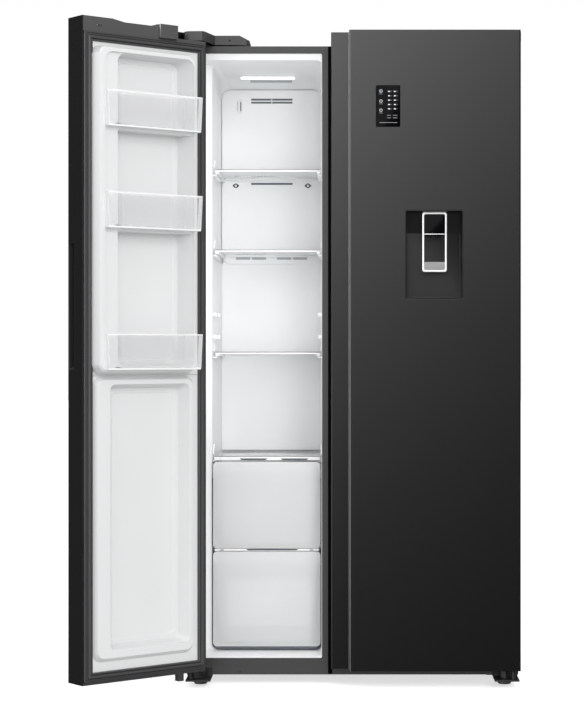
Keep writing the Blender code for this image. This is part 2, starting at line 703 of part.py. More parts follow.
def skin(name, path, holder):
    """Painted sheet folded along a path seen from above; the path runs with the steel on its left."""
    return piece(name, prism("z", sheet_outline(path, SHEET), DOOR_BOTTOM, DOOR_TOP), black_steel, holder)


def top_step(made, side, wall, front):
    """Cuts away the hinge corner of a door's top behind its front sheet."""
    x0, x1 = sorted((side * (SIDE + 0.01), wall))
    cut(made, block(x0, x1, front, 0.1, STEP, 2))


def bores(top, bottom, filling, side):
    """Holes for the two hinge pins."""
    for made, z0, z1, radius in (
        (top, 1.7, 2, PIN_RADIUS + GAP), (bottom, 0, 0.1, PIN_RADIUS + GAP),
        (filling, STEP - 0.022, 2, PIN_RADIUS + 0.002), (filling, 0, DOOR_BOTTOM + 0.017, PIN_RADIUS + 0.002),
    ):
        cut(made, rod("z", side * HINGE_X, HINGE_Y, radius, z0, z1))


def door_bin(name, wide, narrow, z0, holder, lowest=0.0):
    """Clear bin: a wide front that laps over the liner's ridges and a narrower body inside the recess."""
    wall, top = 0.0028, z0 + BIN_HEIGHT
    made = piece(name, prism("z", rounded(*wide, 0.004), z0, top), clear_plastic, holder)
    x0, x1, y0 = narrow
    body_bottom = max(z0, lowest)
    join(made, prism("z", rounded(x0, x1, y0, wide[3] - 0.005, 0.003), body_bottom, top))
    for (x0, x1, y0), bottom in ((narrow, body_bottom), (wide[:3], z0)):
        hollow = rounded(x0 + wall, x1 - wall, y0 + wall, wide[3] - wall, 0.0025)
        cut(made, prism("z", hollow, bottom + wall, top + 0.01))


# ---------------------------------------------------------------- freezer door
FREEZER_FLANGE = (-0.4500, -0.0690, 0.0560, 1.7370)
FREEZER_SEAM = 0.849
FREEZER_ZONES = [
    ((-0.3900, -0.0960, 0.8520, 1.6980), (-0.3656, -0.1504, 0.8690, 1.6680), (0.117, 0.060)),
    ((-0.4100, -0.0955, 0.1050, 0.8460), (-0.3740, -0.1480, 0.1400, 0.8230), (0.090, 0.055)),
]
GRIP = (0.0070, 0.0320, 0.8624, 1.1930)      # the pocket in the free edge: its y and z ranges
FREEZER_STEP_WALL = -0.3600


def freezer_door_shell():
    left, right = -SIDE, FREEZER_DOOR_RIGHT
    path = [
        (left, DOOR_BACK), (left, 0.004), (left + 0.0012, 0.0012), (left + 0.004, 0),
        (right - 0.004, 0), (right - 0.0012, 0.0012), (right, 0.004), (right, DOOR_BACK),
    ]
    made = skin("freezer_door_skin", path, freezer_door)
    y0, y1, z0, z1 = GRIP
    mouth = rounded(y0 - GAP, y1 + GAP, z0 - GAP, z1 + GAP, 0.003)
    cut(made, prism("x", mouth, right - 0.01, right + 0.01))
    top_step(made, -1, FREEZER_STEP_WALL, 0.0035)

    wall, depth = 0.0012, 0.0200
    front_ring = rounded(y0 + wall, y1 - wall, z0 + wall, z1 - wall, 0.002), right - GAP
    floor_ring = rounded(y0 + 0.004, y1 - 0.003, z0 + 0.020, z1 - 0.020, 0.002), right - depth
    outer_front = rounded(y0, y1, z0, z1, 0.003), right - GAP
    outer_floor = rounded(y0 + 0.0028, y1 - 0.0018, z0 + 0.0188, z1 - 0.0188, 0.003), right - depth - wall
    pocket = loft("x", [outer_floor, outer_front, front_ring, floor_ring])
    piece("freezer_door_grip", pocket, dark_plastic, freezer_door)


def freezer_door_inside():
    left, right = -SIDE + SHEET + GAP, FREEZER_DOOR_RIGHT - SHEET - GAP
    x0, x1, z0, z1 = FREEZER_FLANGE
    upper, lower = FREEZER_ZONES
    lap = 0.0015
    liner_top = embossed((x0, x1, FREEZER_SEAM - lap, z1), *upper)
    liner = piece("freezer_door_liner", liner_top, white_plastic, freezer_door)
    join(liner, embossed((x0, x1, z0, FREEZER_SEAM + lap), *lower))
    chamfer, front = 0.004, SHEET + GAP

    def between_sides(back, z0, z1):
        plan = [
            (left + chamfer, front), (right - chamfer, front), (right, front + chamfer),
            (right, back), (left, back), (left, front + chamfer),
        ]
        return prism("z", plan, z0, z1)

    core = between_sides(FLANGE_UNDER - GAP, CAP_HIGH + GAP, CAP_LOW - GAP)
    filling = door_foam("freezer_door_foam", core, FREEZER_ZONES, freezer_door)
    y0, y1, z0, z1 = GRIP
    cut(filling, block(FREEZER_DOOR_RIGHT - 0.0225, 0, y0 - 0.001, y1 + 0.001, z0 - 0.001, z1 + 0.001))

    top_plug = between_sides(DOOR_BACK, CAP_LOW, DOOR_TOP - GAP)
    top = piece("freezer_door_top_cap", top_plug, dark_plastic, freezer_door)
    dip = [
        (-0.140, 1.80), (-0.155, 1.7780), (-0.195, 1.7715), (-0.290, 1.7715),
        (-0.2985, 1.7780), (-0.2985, 1.80),
    ]
    cut(top, prism("y", dip, 0.030, 0.1))
    join(top, block(-0.3555, -0.3005, 0.060, CABINET_FRONT - 0.0008, 1.7410, DOOR_TOP - GAP))
    top_step(top, -1, FREEZER_STEP_WALL, 0.0)
    bottom_plug = between_sides(DOOR_BACK, DOOR_BOTTOM + GAP, CAP_HIGH)
    bottom = piece("freezer_door_bottom_cap", bottom_plug, dark_plastic, freezer_door)
    join(bottom, block(-0.3815, -0.3645, 0.057, DOOR_BACK, 0.0290, DOOR_BOTTOM + 0.001))
    bores(top, bottom, filling, -1)
    gasket("freezer_door_gasket", (-0.4445, -0.0690, 0.0580, 1.7365), freezer_door)

    for word, z in BIN_Z.items():
        holder = axis_at(f"freezer_bin_{word}_axis", -0.2530, 0.100, z, freezer_door)
        wide = (-0.4020, -0.1040, 0.1175, 0.1360)
        door_bin(f"freezer_bin_{word}", wide, (-0.3570, -0.1590, 0.0625), z, holder, lowest=0.8880)


freezer_door_shell()
freezer_door_inside()


# ---------------------------------------------------------------- fridge door
BAND_Y = 0.045               # face of the grip channel beside the front panel
BAND_RIGHT = 0.0140          # the channel runs on behind the panel's edge up to here
BAND_SHEET = 0.0020
FRIDGE_FLANGE = (-0.0560, 0.4500, 0.0560, 1.7370)
FRIDGE_ZONE = ((-0.0080, 0.3980, 0.0860, 1.7000), (0.0300, 0.3600, 0.1000, 1.6720), (0.117, 0.062))
DISPLAY = (0.0631, 0.1286, 1.5158, 1.6277)
DISPENSER = (0.1415, 0.2986, 1.0517, 1.2916)
DISPENSER_DEPTH = 0.045
PADDLE = (0.1887, 0.2547, 1.1253, 1.2862)
PADDLE_AXIS = (0.0150, 1.2830)
FRIDGE_STEP_WALL = 0.3600


def fridge_door_plan():
    """What the skin and the grip channel enclose, seen from above."""
    left, right = FRIDGE_DOOR_LEFT + BAND_SHEET + GAP, SIDE - SHEET - GAP
    inner_left, shoulder = BAND_RIGHT + BAND_SHEET + GAP, BAND_Y + BAND_SHEET + GAP
    front = SHEET + GAP
    return left, inner_left, right, front, shoulder


def fridge_door_core(back, z0, z1):
    left, inner_left, right, front, shoulder = fridge_door_plan()
    outline = [
        (inner_left, front), (right - 0.004, front), (right, front + 0.004), (right, back),
        (left, back), (left, shoulder + 0.002), (left + 0.002, shoulder), (inner_left, shoulder),
    ]
    return prism("z", outline, z0, z1)


def window(area, y0, y1, grow=0.0, radius=0.003):
    x0, x1, z0, z1 = area
    return prism("y", rounded(x0 - grow, x1 + grow, z0 - grow, z1 + grow, radius), y0, y1)


def fridge_door_shell():
    hem = 0.0115
    path = [
        (0.0120, hem), (FRIDGE_PANEL_LEFT, hem), (FRIDGE_PANEL_LEFT, 0.004),
        (FRIDGE_PANEL_LEFT + 0.0012, 0.0012), (FRIDGE_PANEL_LEFT + 0.004, 0),
        (SIDE - 0.004, 0), (SIDE - 0.0012, 0.0012), (SIDE, 0.004), (SIDE, DOOR_BACK),
    ]
    made = skin("fridge_door_skin", path, fridge_door)
    cut(made, window(DISPLAY, -0.01, 0.005, GAP))
    cut(made, window(DISPENSER, -0.01, 0.005, GAP))
    top_step(made, 1, FRIDGE_STEP_WALL, 0.0035)
    channel = [
        (FRIDGE_DOOR_LEFT, DOOR_BACK), (FRIDGE_DOOR_LEFT, BAND_Y + 0.002),
        (FRIDGE_DOOR_LEFT + 0.002, BAND_Y), (BAND_RIGHT, BAND_Y), (BAND_RIGHT, hem + GAP),
    ]
    strip = prism("z", sheet_outline(channel, BAND_SHEET), DOOR_BOTTOM, DOOR_TOP)
    piece("fridge_door_grip_band", strip, black_steel, fridge_door)


def fridge_door_inside():
    liner = piece("fridge_door_liner", embossed(FRIDGE_FLANGE, *FRIDGE_ZONE), white_plastic, fridge_door)
    core = fridge_door_core(FLANGE_UNDER - GAP, CAP_HIGH + GAP, CAP_LOW - GAP)
    filling = door_foam("fridge_door_foam", core, [FRIDGE_ZONE], fridge_door)
    cut(filling, window(DISPLAY, 0, 0.0100, 0.001))
    cut(filling, window(DISPENSER, 0, DISPENSER_DEPTH + 0.0025, 0.0028))
    top_plug = fridge_door_core(DOOR_BACK, CAP_LOW, DOOR_TOP - GAP)
    top = piece("fridge_door_top_cap", top_plug, dark_plastic, fridge_door)
    join(top, block(0.3005, 0.3555, 0.060, CABINET_FRONT - 0.0008, 1.7410, DOOR_TOP - GAP))
    top_step(top, 1, FRIDGE_STEP_WALL, 0.0)
    bottom_plug = fridge_door_core(DOOR_BACK, DOOR_BOTTOM + GAP, CAP_HIGH)
    bottom = piece("fridge_door_bottom_cap", bottom_plug, dark_plastic, fridge_door)
    join(bottom, block(0.3645, 0.3815, 0.057, DOOR_BACK, 0.0290, DOOR_BOTTOM + 0.001))
    bores(top, bottom, filling, 1)
    gasket("fridge_door_gasket", (-0.0520, 0.4445, 0.0580, 1.7365), fridge_door)
    wide, narrow = (-0.0020, 0.3920, 0.1175, 0.1450), (0.0370, 0.3530, 0.0645)
    door_bin("fridge_bin", wide, narrow, 0.860, fridge_door)
    tank = [
        (0.0700, 0.3200, 0.0670, 0.1400, 0.012, 1.3200),
        (0.0720, 0.3180, 0.0690, 0.1380, 0.012, 1.1500),
    ]
    piece("water_tank", tub("z", tank, 0.002), clear_plastic, fridge_door)


def display_panel():
    piece("display_panel", window(DISPLAY, 0.0002, 0.0085), black_gloss, fridge_door)


def dispenser():
    """Recess with a nozzle block at its top and a sprung chrome frame that a cup pushes back."""
    x0, x1, z0, z1 = DISPENSER
    wall = 0.002
    cavity = [
        (x0 + wall, x1 - wall, z0 + wall, z1 - wall, 0.003, 0.0002),
        (x0 + 0.004, x1 - 0.004, z0 + 0.010, z1 - 0.006, 0.003, DISPENSER_DEPTH - wall),
    ]
    housing = piece("dispenser_housing", tub("y", cavity, wall), black_gloss, fridge_door)
    px0, px1, pz0, pz1 = PADDLE
    side = 0.0050
    clear = side + 0.0008
    nozzle = rounded(px0 + clear, px1 - clear, 1.2240, pz1 - clear, 0.006)
    join(housing, prism("y", nozzle, 0.0080, DISPENSER_DEPTH - 0.001))
    rear = DISPENSER_DEPTH - 0.001
    sill = [(0.0006, z0 + 0.001), (rear, z0 + 0.001), (rear, z0 + 0.022), (0.004, z0 + 0.012)]
    join(housing, prism("x", sill, x0 + 0.001, x1 - 0.001))
    axis_y, axis_z = PADDLE_AXIS
    holder = axis_at("dispenser_paddle_axis", (px0 + px1) / 2, axis_y, axis_z, fridge_door)
    outline = rounded(px0, px1, pz0, pz1, 0.010)
    paddle = piece("dispenser_paddle", prism("y", outline, axis_y - 0.003, axis_y + 0.003), chrome, holder)
    inside = rounded(px0 + side, px1 - side, pz0 + side, pz1 - side, 0.006)
    cut(paddle, prism("y", inside, 0, 0.03))
    lip_x = (px0 + side - 0.001, px1 - side + 0.001)
    join(paddle, block(*lip_x, axis_y - 0.002, axis_y + 0.002, 1.1350, 1.1560))


fridge_door_shell()
fridge_door_inside()
display_panel()
dispenser()
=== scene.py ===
"""Looks of the side by side refrigerator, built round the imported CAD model.

Working frame, in metres: X is 0 on the cabinet's middle and runs right, Y is 0 on the front plane of the
closed doors and runs back, Z is 0 on the floor. Pieces of the freezer door are drawn as if it were closed,
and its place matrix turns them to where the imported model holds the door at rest.
"""
import bmesh
import bpy
import json
from math import cos, pi, radians, sin
from mathutils import Matrix, Vector


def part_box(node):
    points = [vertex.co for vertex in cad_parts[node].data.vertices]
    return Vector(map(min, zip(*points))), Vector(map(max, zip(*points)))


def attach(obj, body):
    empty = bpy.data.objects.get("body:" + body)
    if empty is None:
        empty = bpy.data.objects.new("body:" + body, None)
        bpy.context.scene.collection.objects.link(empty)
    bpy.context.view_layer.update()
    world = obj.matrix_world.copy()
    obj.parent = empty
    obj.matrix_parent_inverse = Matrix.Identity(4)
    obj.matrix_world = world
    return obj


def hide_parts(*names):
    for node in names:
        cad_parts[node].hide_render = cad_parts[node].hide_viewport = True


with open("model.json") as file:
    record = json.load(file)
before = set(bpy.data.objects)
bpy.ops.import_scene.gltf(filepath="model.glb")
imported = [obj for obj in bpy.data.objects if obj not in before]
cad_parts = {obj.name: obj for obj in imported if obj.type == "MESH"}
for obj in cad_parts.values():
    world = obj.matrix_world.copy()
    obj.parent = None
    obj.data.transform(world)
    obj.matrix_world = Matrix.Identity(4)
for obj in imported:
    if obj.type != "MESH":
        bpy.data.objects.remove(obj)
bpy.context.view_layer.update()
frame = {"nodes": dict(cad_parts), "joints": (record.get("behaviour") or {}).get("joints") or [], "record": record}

# ---------------------------------------------------------------- the working frame
shell_low, shell_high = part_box("cabinet_shell")
FRONT_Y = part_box("fridge_door_skin")[0].y
CABINET = Matrix.Translation(((shell_low.x + shell_high.x) / 2, FRONT_Y, 0))
JOINTS = {joint["name"]: joint for joint in frame["joints"]}
hinge = JOINTS["freezer_door_hinge"]
hinge_place = Matrix.Translation(Vector(hinge["pos_m"]))
swing = Matrix.Rotation(radians(hinge["range_deg"][0]), 4, "Z")
OPEN_DOOR = hinge_place @ swing @ hinge_place.inverted() @ CABINET
BODY_OF = {node: body for body, nodes in frame["record"]["behaviour"]["bodies"].items() for node in nodes}
SLOT_OF = {entry["node"]: entry["material_slot"] for entry in frame["record"]["subparts"]}
DOOR_BODIES = {"freezer_door", "freezer_bin_upper", "freezer_bin_middle", "freezer_bin_lower"}
FACE = 0.0004                # how far a thin cover stands off what it lies on
PROUD = 0.0001               # how far a printed mark or a bezel stands out of its face


def place_of(body):
    return OPEN_DOOR if body in DOOR_BODIES else CABINET


def span(node):
    """A CAD node's box in the working frame: x0, x1, y0, y1, z0, z1."""
    back = place_of(BODY_OF[node]).inverted()
    points = [back @ v.co for v in frame["nodes"][node].data.vertices]
    return tuple(f(p[axis] for p in points) for axis in range(3) for f in (min, max))


# ---------------------------------------------------------------- camera, light and floor
def look():
    view = bpy.data.cameras.new("camera")
    camera = bpy.data.objects.new("camera", view)
    bpy.context.scene.collection.objects.link(camera)
    distance, height = 5.335, 0.9156
    camera.location = CABINET @ Vector((0, -distance, height))
    camera.rotation_euler = (pi / 2, 0, 0)
    view.lens = 101.51
    view.sensor_width = 36.0
    view.shift_x = -0.0855
    view.shift_y = -0.0021
    bpy.context.scene.camera = camera
    bpy.context.scene.view_settings.view_transform = "Standard"


def lamp(name, place, size, power, aim):
    """A soft rectangle of light that only matt shading sees."""
    light = bpy.data.lights.new(name, "AREA")
    light.shape = "RECTANGLE"
    light.size, light.size_y = size
    light.energy = power
    made = bpy.data.objects.new(name, light)
    bpy.context.scene.collection.objects.link(made)
    made.location = CABINET @ Vector(place)
    made.rotation_mode = "QUATERNION"
    made.rotation_quaternion = (CABINET @ Vector(aim) - made.location).to_track_quat("-Z", "Y")
    made.visible_glossy = False
    made.visible_camera = False
    return made


def sky():
    """White for the eye, an even dome for matt surfaces, and for glossy ones a room that is bright overhead
    on the left and dark below on the right."""
    world = bpy.data.worlds.new("studio")
    bpy.context.scene.world = world
    world.use_nodes = True
    tree = world.node_tree
    nodes, links = tree.nodes, tree.links
    output = nodes["World Output"]

    def math(operation, a, b):
        node = nodes.new("ShaderNodeMath")
        node.operation = operation
        for socket, value in zip(node.inputs, (a, b)):
            if isinstance(value, (int, float)):
                socket.default_value = value
            else:
                links.new(value, socket)
        return node.outputs[0]

    def background(strength):
        node = nodes.new("ShaderNodeBackground")
        node.inputs["Color"].default_value = (1, 1, 1, 1)
        if isinstance(strength, (int, float)):
            node.inputs["Strength"].default_value = strength
        else:
            links.new(strength, node.inputs["Strength"])
        return node.outputs[0]

    def choose(test, yes, no):
        node = nodes.new("ShaderNodeMixShader")
        links.new(test, node.inputs[0])
        links.new(no, node.inputs[1])
        links.new(yes, node.inputs[2])
        return node.outputs[0]

    direction = nodes.new("ShaderNodeTexCoord")
    parts = nodes.new("ShaderNodeSeparateXYZ")
    links.new(direction.outputs["Generated"], parts.inputs[0])
    away = math("ADD", parts.outputs["Y"], 1.0)
    slant = math("ADD", parts.outputs["Z"], math("MULTIPLY", parts.outputs["X"], -0.9))
    slant = math("SUBTRACT", slant, away)
    steepness, level, brightest = 11.0, 0.345, 2.6
    darkest, side_glow = 0.006, 0.085
    even_light, from_above = 0.78, 0.18
    rising = math("MULTIPLY", math("EXPONENT", math("MULTIPLY", slant, steepness), 0), level)
    lowest = math("ADD", math("MULTIPLY", away, side_glow), darkest)
    room = math("MAXIMUM", math("MINIMUM", rising, brightest), lowest)
    dome = math("ADD", math("MULTIPLY", parts.outputs["Z"], from_above), even_light)
    ray = nodes.new("ShaderNodeLightPath")
    seen = choose(ray.outputs["Is Glossy Ray"], background(room), background(dome))
    links.new(choose(ray.outputs["Is Camera Ray"], background(1.0), seen), output.inputs["Surface"])


def floor():
    mesh = bpy.data.meshes.new("floor")
    size = 30.0
    corners = [(-size, -size, 0), (size, -size, 0), (size, size, 0), (-size, size, 0)]
    mesh.from_pydata(corners, [], [(0, 1, 2, 3)])
    made = bpy.data.objects.new("floor", mesh)
    bpy.context.scene.collection.objects.link(made)
    made.location.z = -0.0005
    surface = bpy.data.materials.new("studio_floor")
    surface.use_nodes = True
    shader = surface.node_tree.nodes["Principled BSDF"]
    shader.inputs["Base Color"].default_value = (0.9, 0.9, 0.9, 1)
    shader.inputs["Roughness"].default_value = 0.9
    shader.inputs["Specular IOR Level"].default_value = 0.0
    shader.inputs["Emission Color"].default_value = (1, 1, 1, 1)
    shader.inputs["Emission Strength"].default_value = 0.62
    mesh.materials.append(surface)
    made.visible_glossy = False
    made.visible_diffuse = False


look()
sky()
floor()
LAMPS = {  # place, size, power in watts, aim
    "key": ((1.8, -4.8, 3.0), (2.6, 2.2), 105.0, (0, 0, 1.0)),
    "front": ((0.6, -5.6, 1.2), (2.4, 2.4), 50.0, (-0.2, 0.3, 0.9)),
    "freezer_glow": ((-0.245, 0.03, 1.17), (0.28, 0.96), 0.82, (-0.245, 1.0, 1.17)),
    "drawer_glow": ((-0.245, 0.03, 0.34), (0.28, 0.46), 0.11, (-0.245, 1.0, 0.34)),
    "fridge_glow": ((0.195, 0.11, 1.17), (0.36, 0.96), 1.1, (0.195, 1.0, 1.17)),
}
for name, setting in LAMPS.items():
    lamp(name, *setting)


# ---------------------------------------------------------------- materials
def finish(name, colour, roughness, metallic=0.0, grain=900.0, relief=0.02, cloud=0.06, stretch=(1, 1, 1),
           wear=0.0,
           **settings):
    """A surface with fine grain in its relief, slow changes in its roughness and tone, and paler worn
    edges."""
    made = bpy.data.materials.new(name)
    made.use_nodes = True
    nodes, links = made.node_tree.nodes, made.node_tree.links
    shader = nodes["Principled BSDF"]
    shader.inputs["Metallic"].default_value = metallic
    for key, value in settings.items():
        shader.inputs[key.replace("_", " ")].default_value = value

    where = nodes.new("ShaderNodeTexCoord")
    scaled = nodes.new("ShaderNodeMapping")
    scaled.inputs["Scale"].default_value = stretch
    links.new(where.outputs["Object"], scaled.inputs["Vector"])

    fine = nodes.new("ShaderNodeTexNoise")
    fine.inputs["Scale"].default_value = grain
    fine.inputs["Detail"].default_value = 3.0
    links.new(scaled.outputs["Vector"], fine.inputs["Vector"])
    bump = nodes.new("ShaderNodeBump")
    bump.inputs["Strength"].default_value = 1.0
    bump.inputs["Distance"].default_value = relief * 0.001
    links.new(fine.outputs["Fac"], bump.inputs["Height"])
    links.new(bump.outputs["Normal"], shader.inputs["Normal"])

    slow = nodes.new("ShaderNodeTexNoise")
    slow.inputs["Scale"].default_value = 7.0
    slow.inputs["Detail"].default_value = 4.0
    links.new(where.outputs["Object"], slow.inputs["Vector"])
    gloss = nodes.new("ShaderNodeMapRange")
    gloss.inputs["To Min"].default_value = roughness * (1 - 2 * cloud)
    gloss.inputs["To Max"].default_value = min(1.0, roughness * (1 + 2 * cloud))
    links.new(slow.outputs["Fac"], gloss.inputs["Value"])
    links.new(gloss.outputs["Result"], shader.inputs["Roughness"])

    tone = nodes.new("ShaderNodeMix")
    tone.data_type = "RGBA"
    tone.inputs["A"].default_value = (*(c * (1 - cloud / 3) for c in colour), 1)
    tone.inputs["B"].default_value = (*(min(1.0, c * (1 + cloud / 3)) for c in colour), 1)
    links.new(slow.outputs["Fac"], tone.inputs["Factor"])
    if not wear:
        links.new(tone.outputs["Result"], shader.inputs["Base Color"])
        return made
    edge = nodes.new("ShaderNodeNewGeometry")
    sharp = nodes.new("ShaderNodeMapRange")
    nearly_flat, sharp_edge = 0.53, 0.62
    sharp.inputs["From Min"].default_value = nearly_flat
    sharp.inputs["From Max"].default_value = sharp_edge
    sharp.inputs["To Max"].default_value = wear
    links.new(edge.outputs["Pointiness"], sharp.inputs["Value"])
    worn = nodes.new("ShaderNodeMix")
    worn.data_type = "RGBA"
    worn.inputs["B"].default_value = (*(min(1.0, c * 1.5 + 0.05) for c in colour), 1)
    links.new(tone.outputs["Result"], worn.inputs["A"])
    links.new(sharp.outputs["Result"], worn.inputs["Factor"])
    links.new(worn.outputs["Result"], shader.inputs["Base Color"])
    return made


def see_through(name, colour, roughness, facing_on, side_on, **settings):
    """A clear moulding: nearly gone when looked at square on, more solid and glossier at a slant."""
    made = finish(name, colour, roughness, grain=260.0, relief=0.01, **settings)
    nodes, links = made.node_tree.nodes, made.node_tree.links
    slant = nodes.new("ShaderNodeLayerWeight")
    slant.inputs["Blend"].default_value = 0.35
    solid = nodes.new("ShaderNodeMapRange")
    solid.inputs["To Min"].default_value = facing_on
    solid.inputs["To Max"].default_value = side_on
    links.new(slant.outputs["Facing"], solid.inputs["Value"])
    links.new(solid.outputs["Result"], nodes["Principled BSDF"].inputs["Alpha"])
    return made


BLACK_STEEL = finish("black_steel_paint", (0.072, 0.072, 0.073), 0.21, 0.94, grain=1400, relief=0.003,
                     cloud=0.012,
                     stretch=(1, 1, 0.12))
FRAME_GREY = finish("frame_moulding", (0.045, 0.045, 0.046), 0.42, grain=1600, relief=0.02, wear=0.2)
CAP_GREY = finish("cap_moulding", (0.082, 0.082, 0.083), 0.42, grain=1600, relief=0.02, wear=0.2)
DARK_PLASTIC = finish("dark_moulding", (0.046, 0.046, 0.047), 0.40, grain=1600, relief=0.02, wear=0.2)
GLOSSY_DARK = finish("dark_glossy_moulding", (0.012, 0.012, 0.013), 0.16, grain=500, relief=0.004, wear=0.1)
RUBBER = finish("gasket_rubber", (0.062, 0.062, 0.064), 0.50, grain=1200, relief=0.02, cloud=0.1)
WHITE = finish("white_moulding", (0.86, 0.865, 0.87), 0.30, grain=420, relief=0.006)
DOOR_WHITE = finish("door_liner_moulding", (0.735, 0.742, 0.744), 0.30, grain=420, relief=0.006)
TRIM_WHITE = finish("trim_moulding", (0.88, 0.885, 0.89), 0.25, grain=500, relief=0.005)
TRIM_GREY = finish("trim_grey", (0.30, 0.295, 0.29), 0.30, 0.3, grain=800, relief=0.01)
# Painted shade: these three greys are plates and marks set in slots, gaps and grooves where shade falls.
RECESS = finish("recess_shadow", (0.13, 0.15, 0.17), 0.55, grain=800, relief=0.02)
PALE_SHADE_PAINT = finish("pale_shade_paint", (0.42, 0.45, 0.47), 0.5, grain=800, relief=0.02)
DEEP_SHADE_PAINT = finish("deep_shade_paint", (0.035, 0.043, 0.055), 0.5, grain=800, relief=0.02)
BIN_CLEAR = see_through("bin_clear", (0.92, 0.925, 0.93), 0.10, 0.07, 0.50)
BIN_EDGE = see_through("bin_edge", (0.93, 0.935, 0.94), 0.12, 0.50, 0.92)
DRAWER_FRONT = see_through("drawer_front_frosted", (0.90, 0.905, 0.91), 0.22, 0.44, 0.92)
DRAWER_TUB = see_through("drawer_tub_frosted", (0.74, 0.76, 0.775), 0.30, 0.45, 0.85)
GLASS = see_through("shelf_glass", (0.72, 0.75, 0.75), 0.04, 0.16, 0.88)
WATER_CLEAR = see_through("tank_clear", (0.80, 0.84, 0.86), 0.08, 0.35, 0.85)
STEEL = finish("steel_plate", (0.55, 0.56, 0.57), 0.30, 1.0, grain=500, relief=0.02, stretch=(1, 0.1, 1),
               cloud=0.1)
CHROME = finish("chrome_plate", (0.80, 0.80, 0.81), 0.10, 1.0, grain=300, relief=0.003)
ENAMEL = finish("black_enamel", (0.018, 0.018, 0.018), 0.38, grain=700, relief=0.03, wear=0.3)
GLOSS = finish("black_gloss_panel", (0.002, 0.002, 0.0024), 0.07, grain=300, relief=0.002,
               Specular_IOR_Level=0.06)
SOFT_BLACK = finish("black_recess", (0.012, 0.012, 0.013), 0.30, grain=500, relief=0.006)
LIT = finish("lamp_diffuser", (1, 1, 1), 0.3, grain=300, relief=0.004, Emission_Color=(1, 1, 1, 1),
             Emission_Strength=1.3)
ZINC = finish("zinc_sheet", (0.42, 0.43, 0.44), 0.42, 0.9, grain=120, relief=0.03, cloud=0.2)
FOAM = finish("foam_block", (0.80, 0.72, 0.50), 0.9, grain=500, relief=0.2, cloud=0.2)
ICON = finish("display_mark", (0.62, 0.65, 0.68), 0.4, grain=900, relief=0.004,
              Emission_Color=(0.7, 0.75, 0.8, 1),
              Emission_Strength=0.10)
DIM_ICON = finish("display_dim_mark", (0.22, 0.23, 0.25), 0.4, grain=900, relief=0.004)
PALE_LIP = finish("lever_lip", (0.26, 0.26, 0.265), 0.35, grain=700, relief=0.006)
# Painted shadow: near-black for the shade in the gap beside the middle post and in peg holes.
BLACK_SHADE_PAINT = finish("seam_shadow", (0.003, 0.003, 0.003), 0.8, grain=700, relief=0.01,
                   Specular_IOR_Level=0.0)
# Painted light: a faint glow keeps the lever's plate looking lit under the dispenser's roof.
GLOWING_TRIM = finish("lever_plate_painted_glow", (0.82, 0.82, 0.83), 0.22, 0.35, grain=300, relief=0.003,
                     Emission_Color=(1, 1, 1, 1), Emission_Strength=0.22)

SHADOWLESS = (BIN_CLEAR, BIN_EDGE, GLASS)    # clear enough for light to pass through them
SURFACES = {
    "black_steel": BLACK_STEEL, "dark_plastic": DARK_PLASTIC, "gasket_grey": RUBBER, "white_plastic": WHITE,
    "clear_plastic": BIN_CLEAR, "frosted_plastic": DRAWER_TUB, "shelf_glass": GLASS, "foam": FOAM,
    "steel": STEEL,
    "chrome": CHROME, "compressor_black": ENAMEL, "black_gloss": GLOSS, "lamp_cover": LIT,
    "galvanised": ZINC,
}


# ---------------------------------------------------------------- shapes
def point(axis, a, b, c):
    """A point of an outline (a, b) at the height c along the axis that the outline is swept on."""
    return {"x": (c, a, b), "y": (a, c, b), "z": (a, b, c)}[axis]


def rounded(a0, a1, b0, b1, radius, steps=6):
    """A rectangle with arcs for corners, as points in order."""
    centres = [
        (a1 - radius, b1 - radius, 0), (a0 + radius, b1 - radius, 1),
        (a0 + radius, b0 + radius, 2), (a1 - radius, b0 + radius, 3),
    ]
    return [
        (a + radius * cos((turn + k / steps) * pi / 2), b + radius * sin((turn + k / steps) * pi / 2))
        for a, b, turn in centres
        for k in range(steps + 1)
    ]


def circle(a, b, radius, steps=32):
    turns = [2 * pi * k / steps for k in range(steps)]
    return [(a + radius * cos(turn), b + radius * sin(turn)) for turn in turns]


def lozenge(a, b, half_wide, half_high, power=1.3, steps=32):
    """A pointed oval: an ellipse whose curve is pulled in towards a diamond."""
    def bend(value):
        return abs(value) ** (2 / power) * (1 if value >= 0 else -1)

    turns = [2 * pi * k / steps for k in range(steps)]
    return [(a + half_wide * bend(cos(turn)), b + half_high * bend(sin(turn))) for turn in turns]


def loft(axis, rings, shape=None, closed=False):
    """A closed skin through rings of equal point counts, each (outline, height); closed rings come
    back round."""
    shape = shape or bmesh.new()
    loops = [[shape.verts.new(point(axis, a, b, height)) for a, b in outline] for outline, height in rings]
    pairs = list(zip(loops, loops[1:] + loops[:1])) if closed else list(zip(loops, loops[1:]))
    for near, far in pairs:
        for k in range(len(near)):
            n = (k + 1) % len(near)
            shape.faces.new((near[k], near[n], far[n], far[k]))
    if not closed:
        shape.faces.new(reversed(loops[0]))
        shape.faces.new(loops[-1])
    return shape


def prism(axis, outline, low, high, shape=None):
    return loft(axis, [(outline, low), (outline, high)], shape)


def block(x0, x1, y0, y1, z0, z1, shape=None):
    return prism("z", [(x0, y0), (x1, y0), (x1, y1), (x0, y1)], z0, z1, shape)


def slab(axis, a0, a1, b0, b1, radius, low, high, edge=0.001, shape=None):
    """A rounded plate whose rims on both faces are eased by an arc."""
    edge = min(edge, 0.45 * (high - low))
    rings = []
    for height, away, turns in ((low, 1, (0, 1, 2, 3)), (high, -1, (3, 2, 1, 0))):
        for k in turns:
            turn = k / 3 * pi / 2
            inset = edge * (1 - sin(turn))
            outline = rounded(a0 + inset, a1 - inset, b0 + inset, b1 - inset, max(radius - inset, 0.0002))
            rings.append((outline, height + away * edge * (1 - cos(turn))))
    return loft(axis, rings, shape)


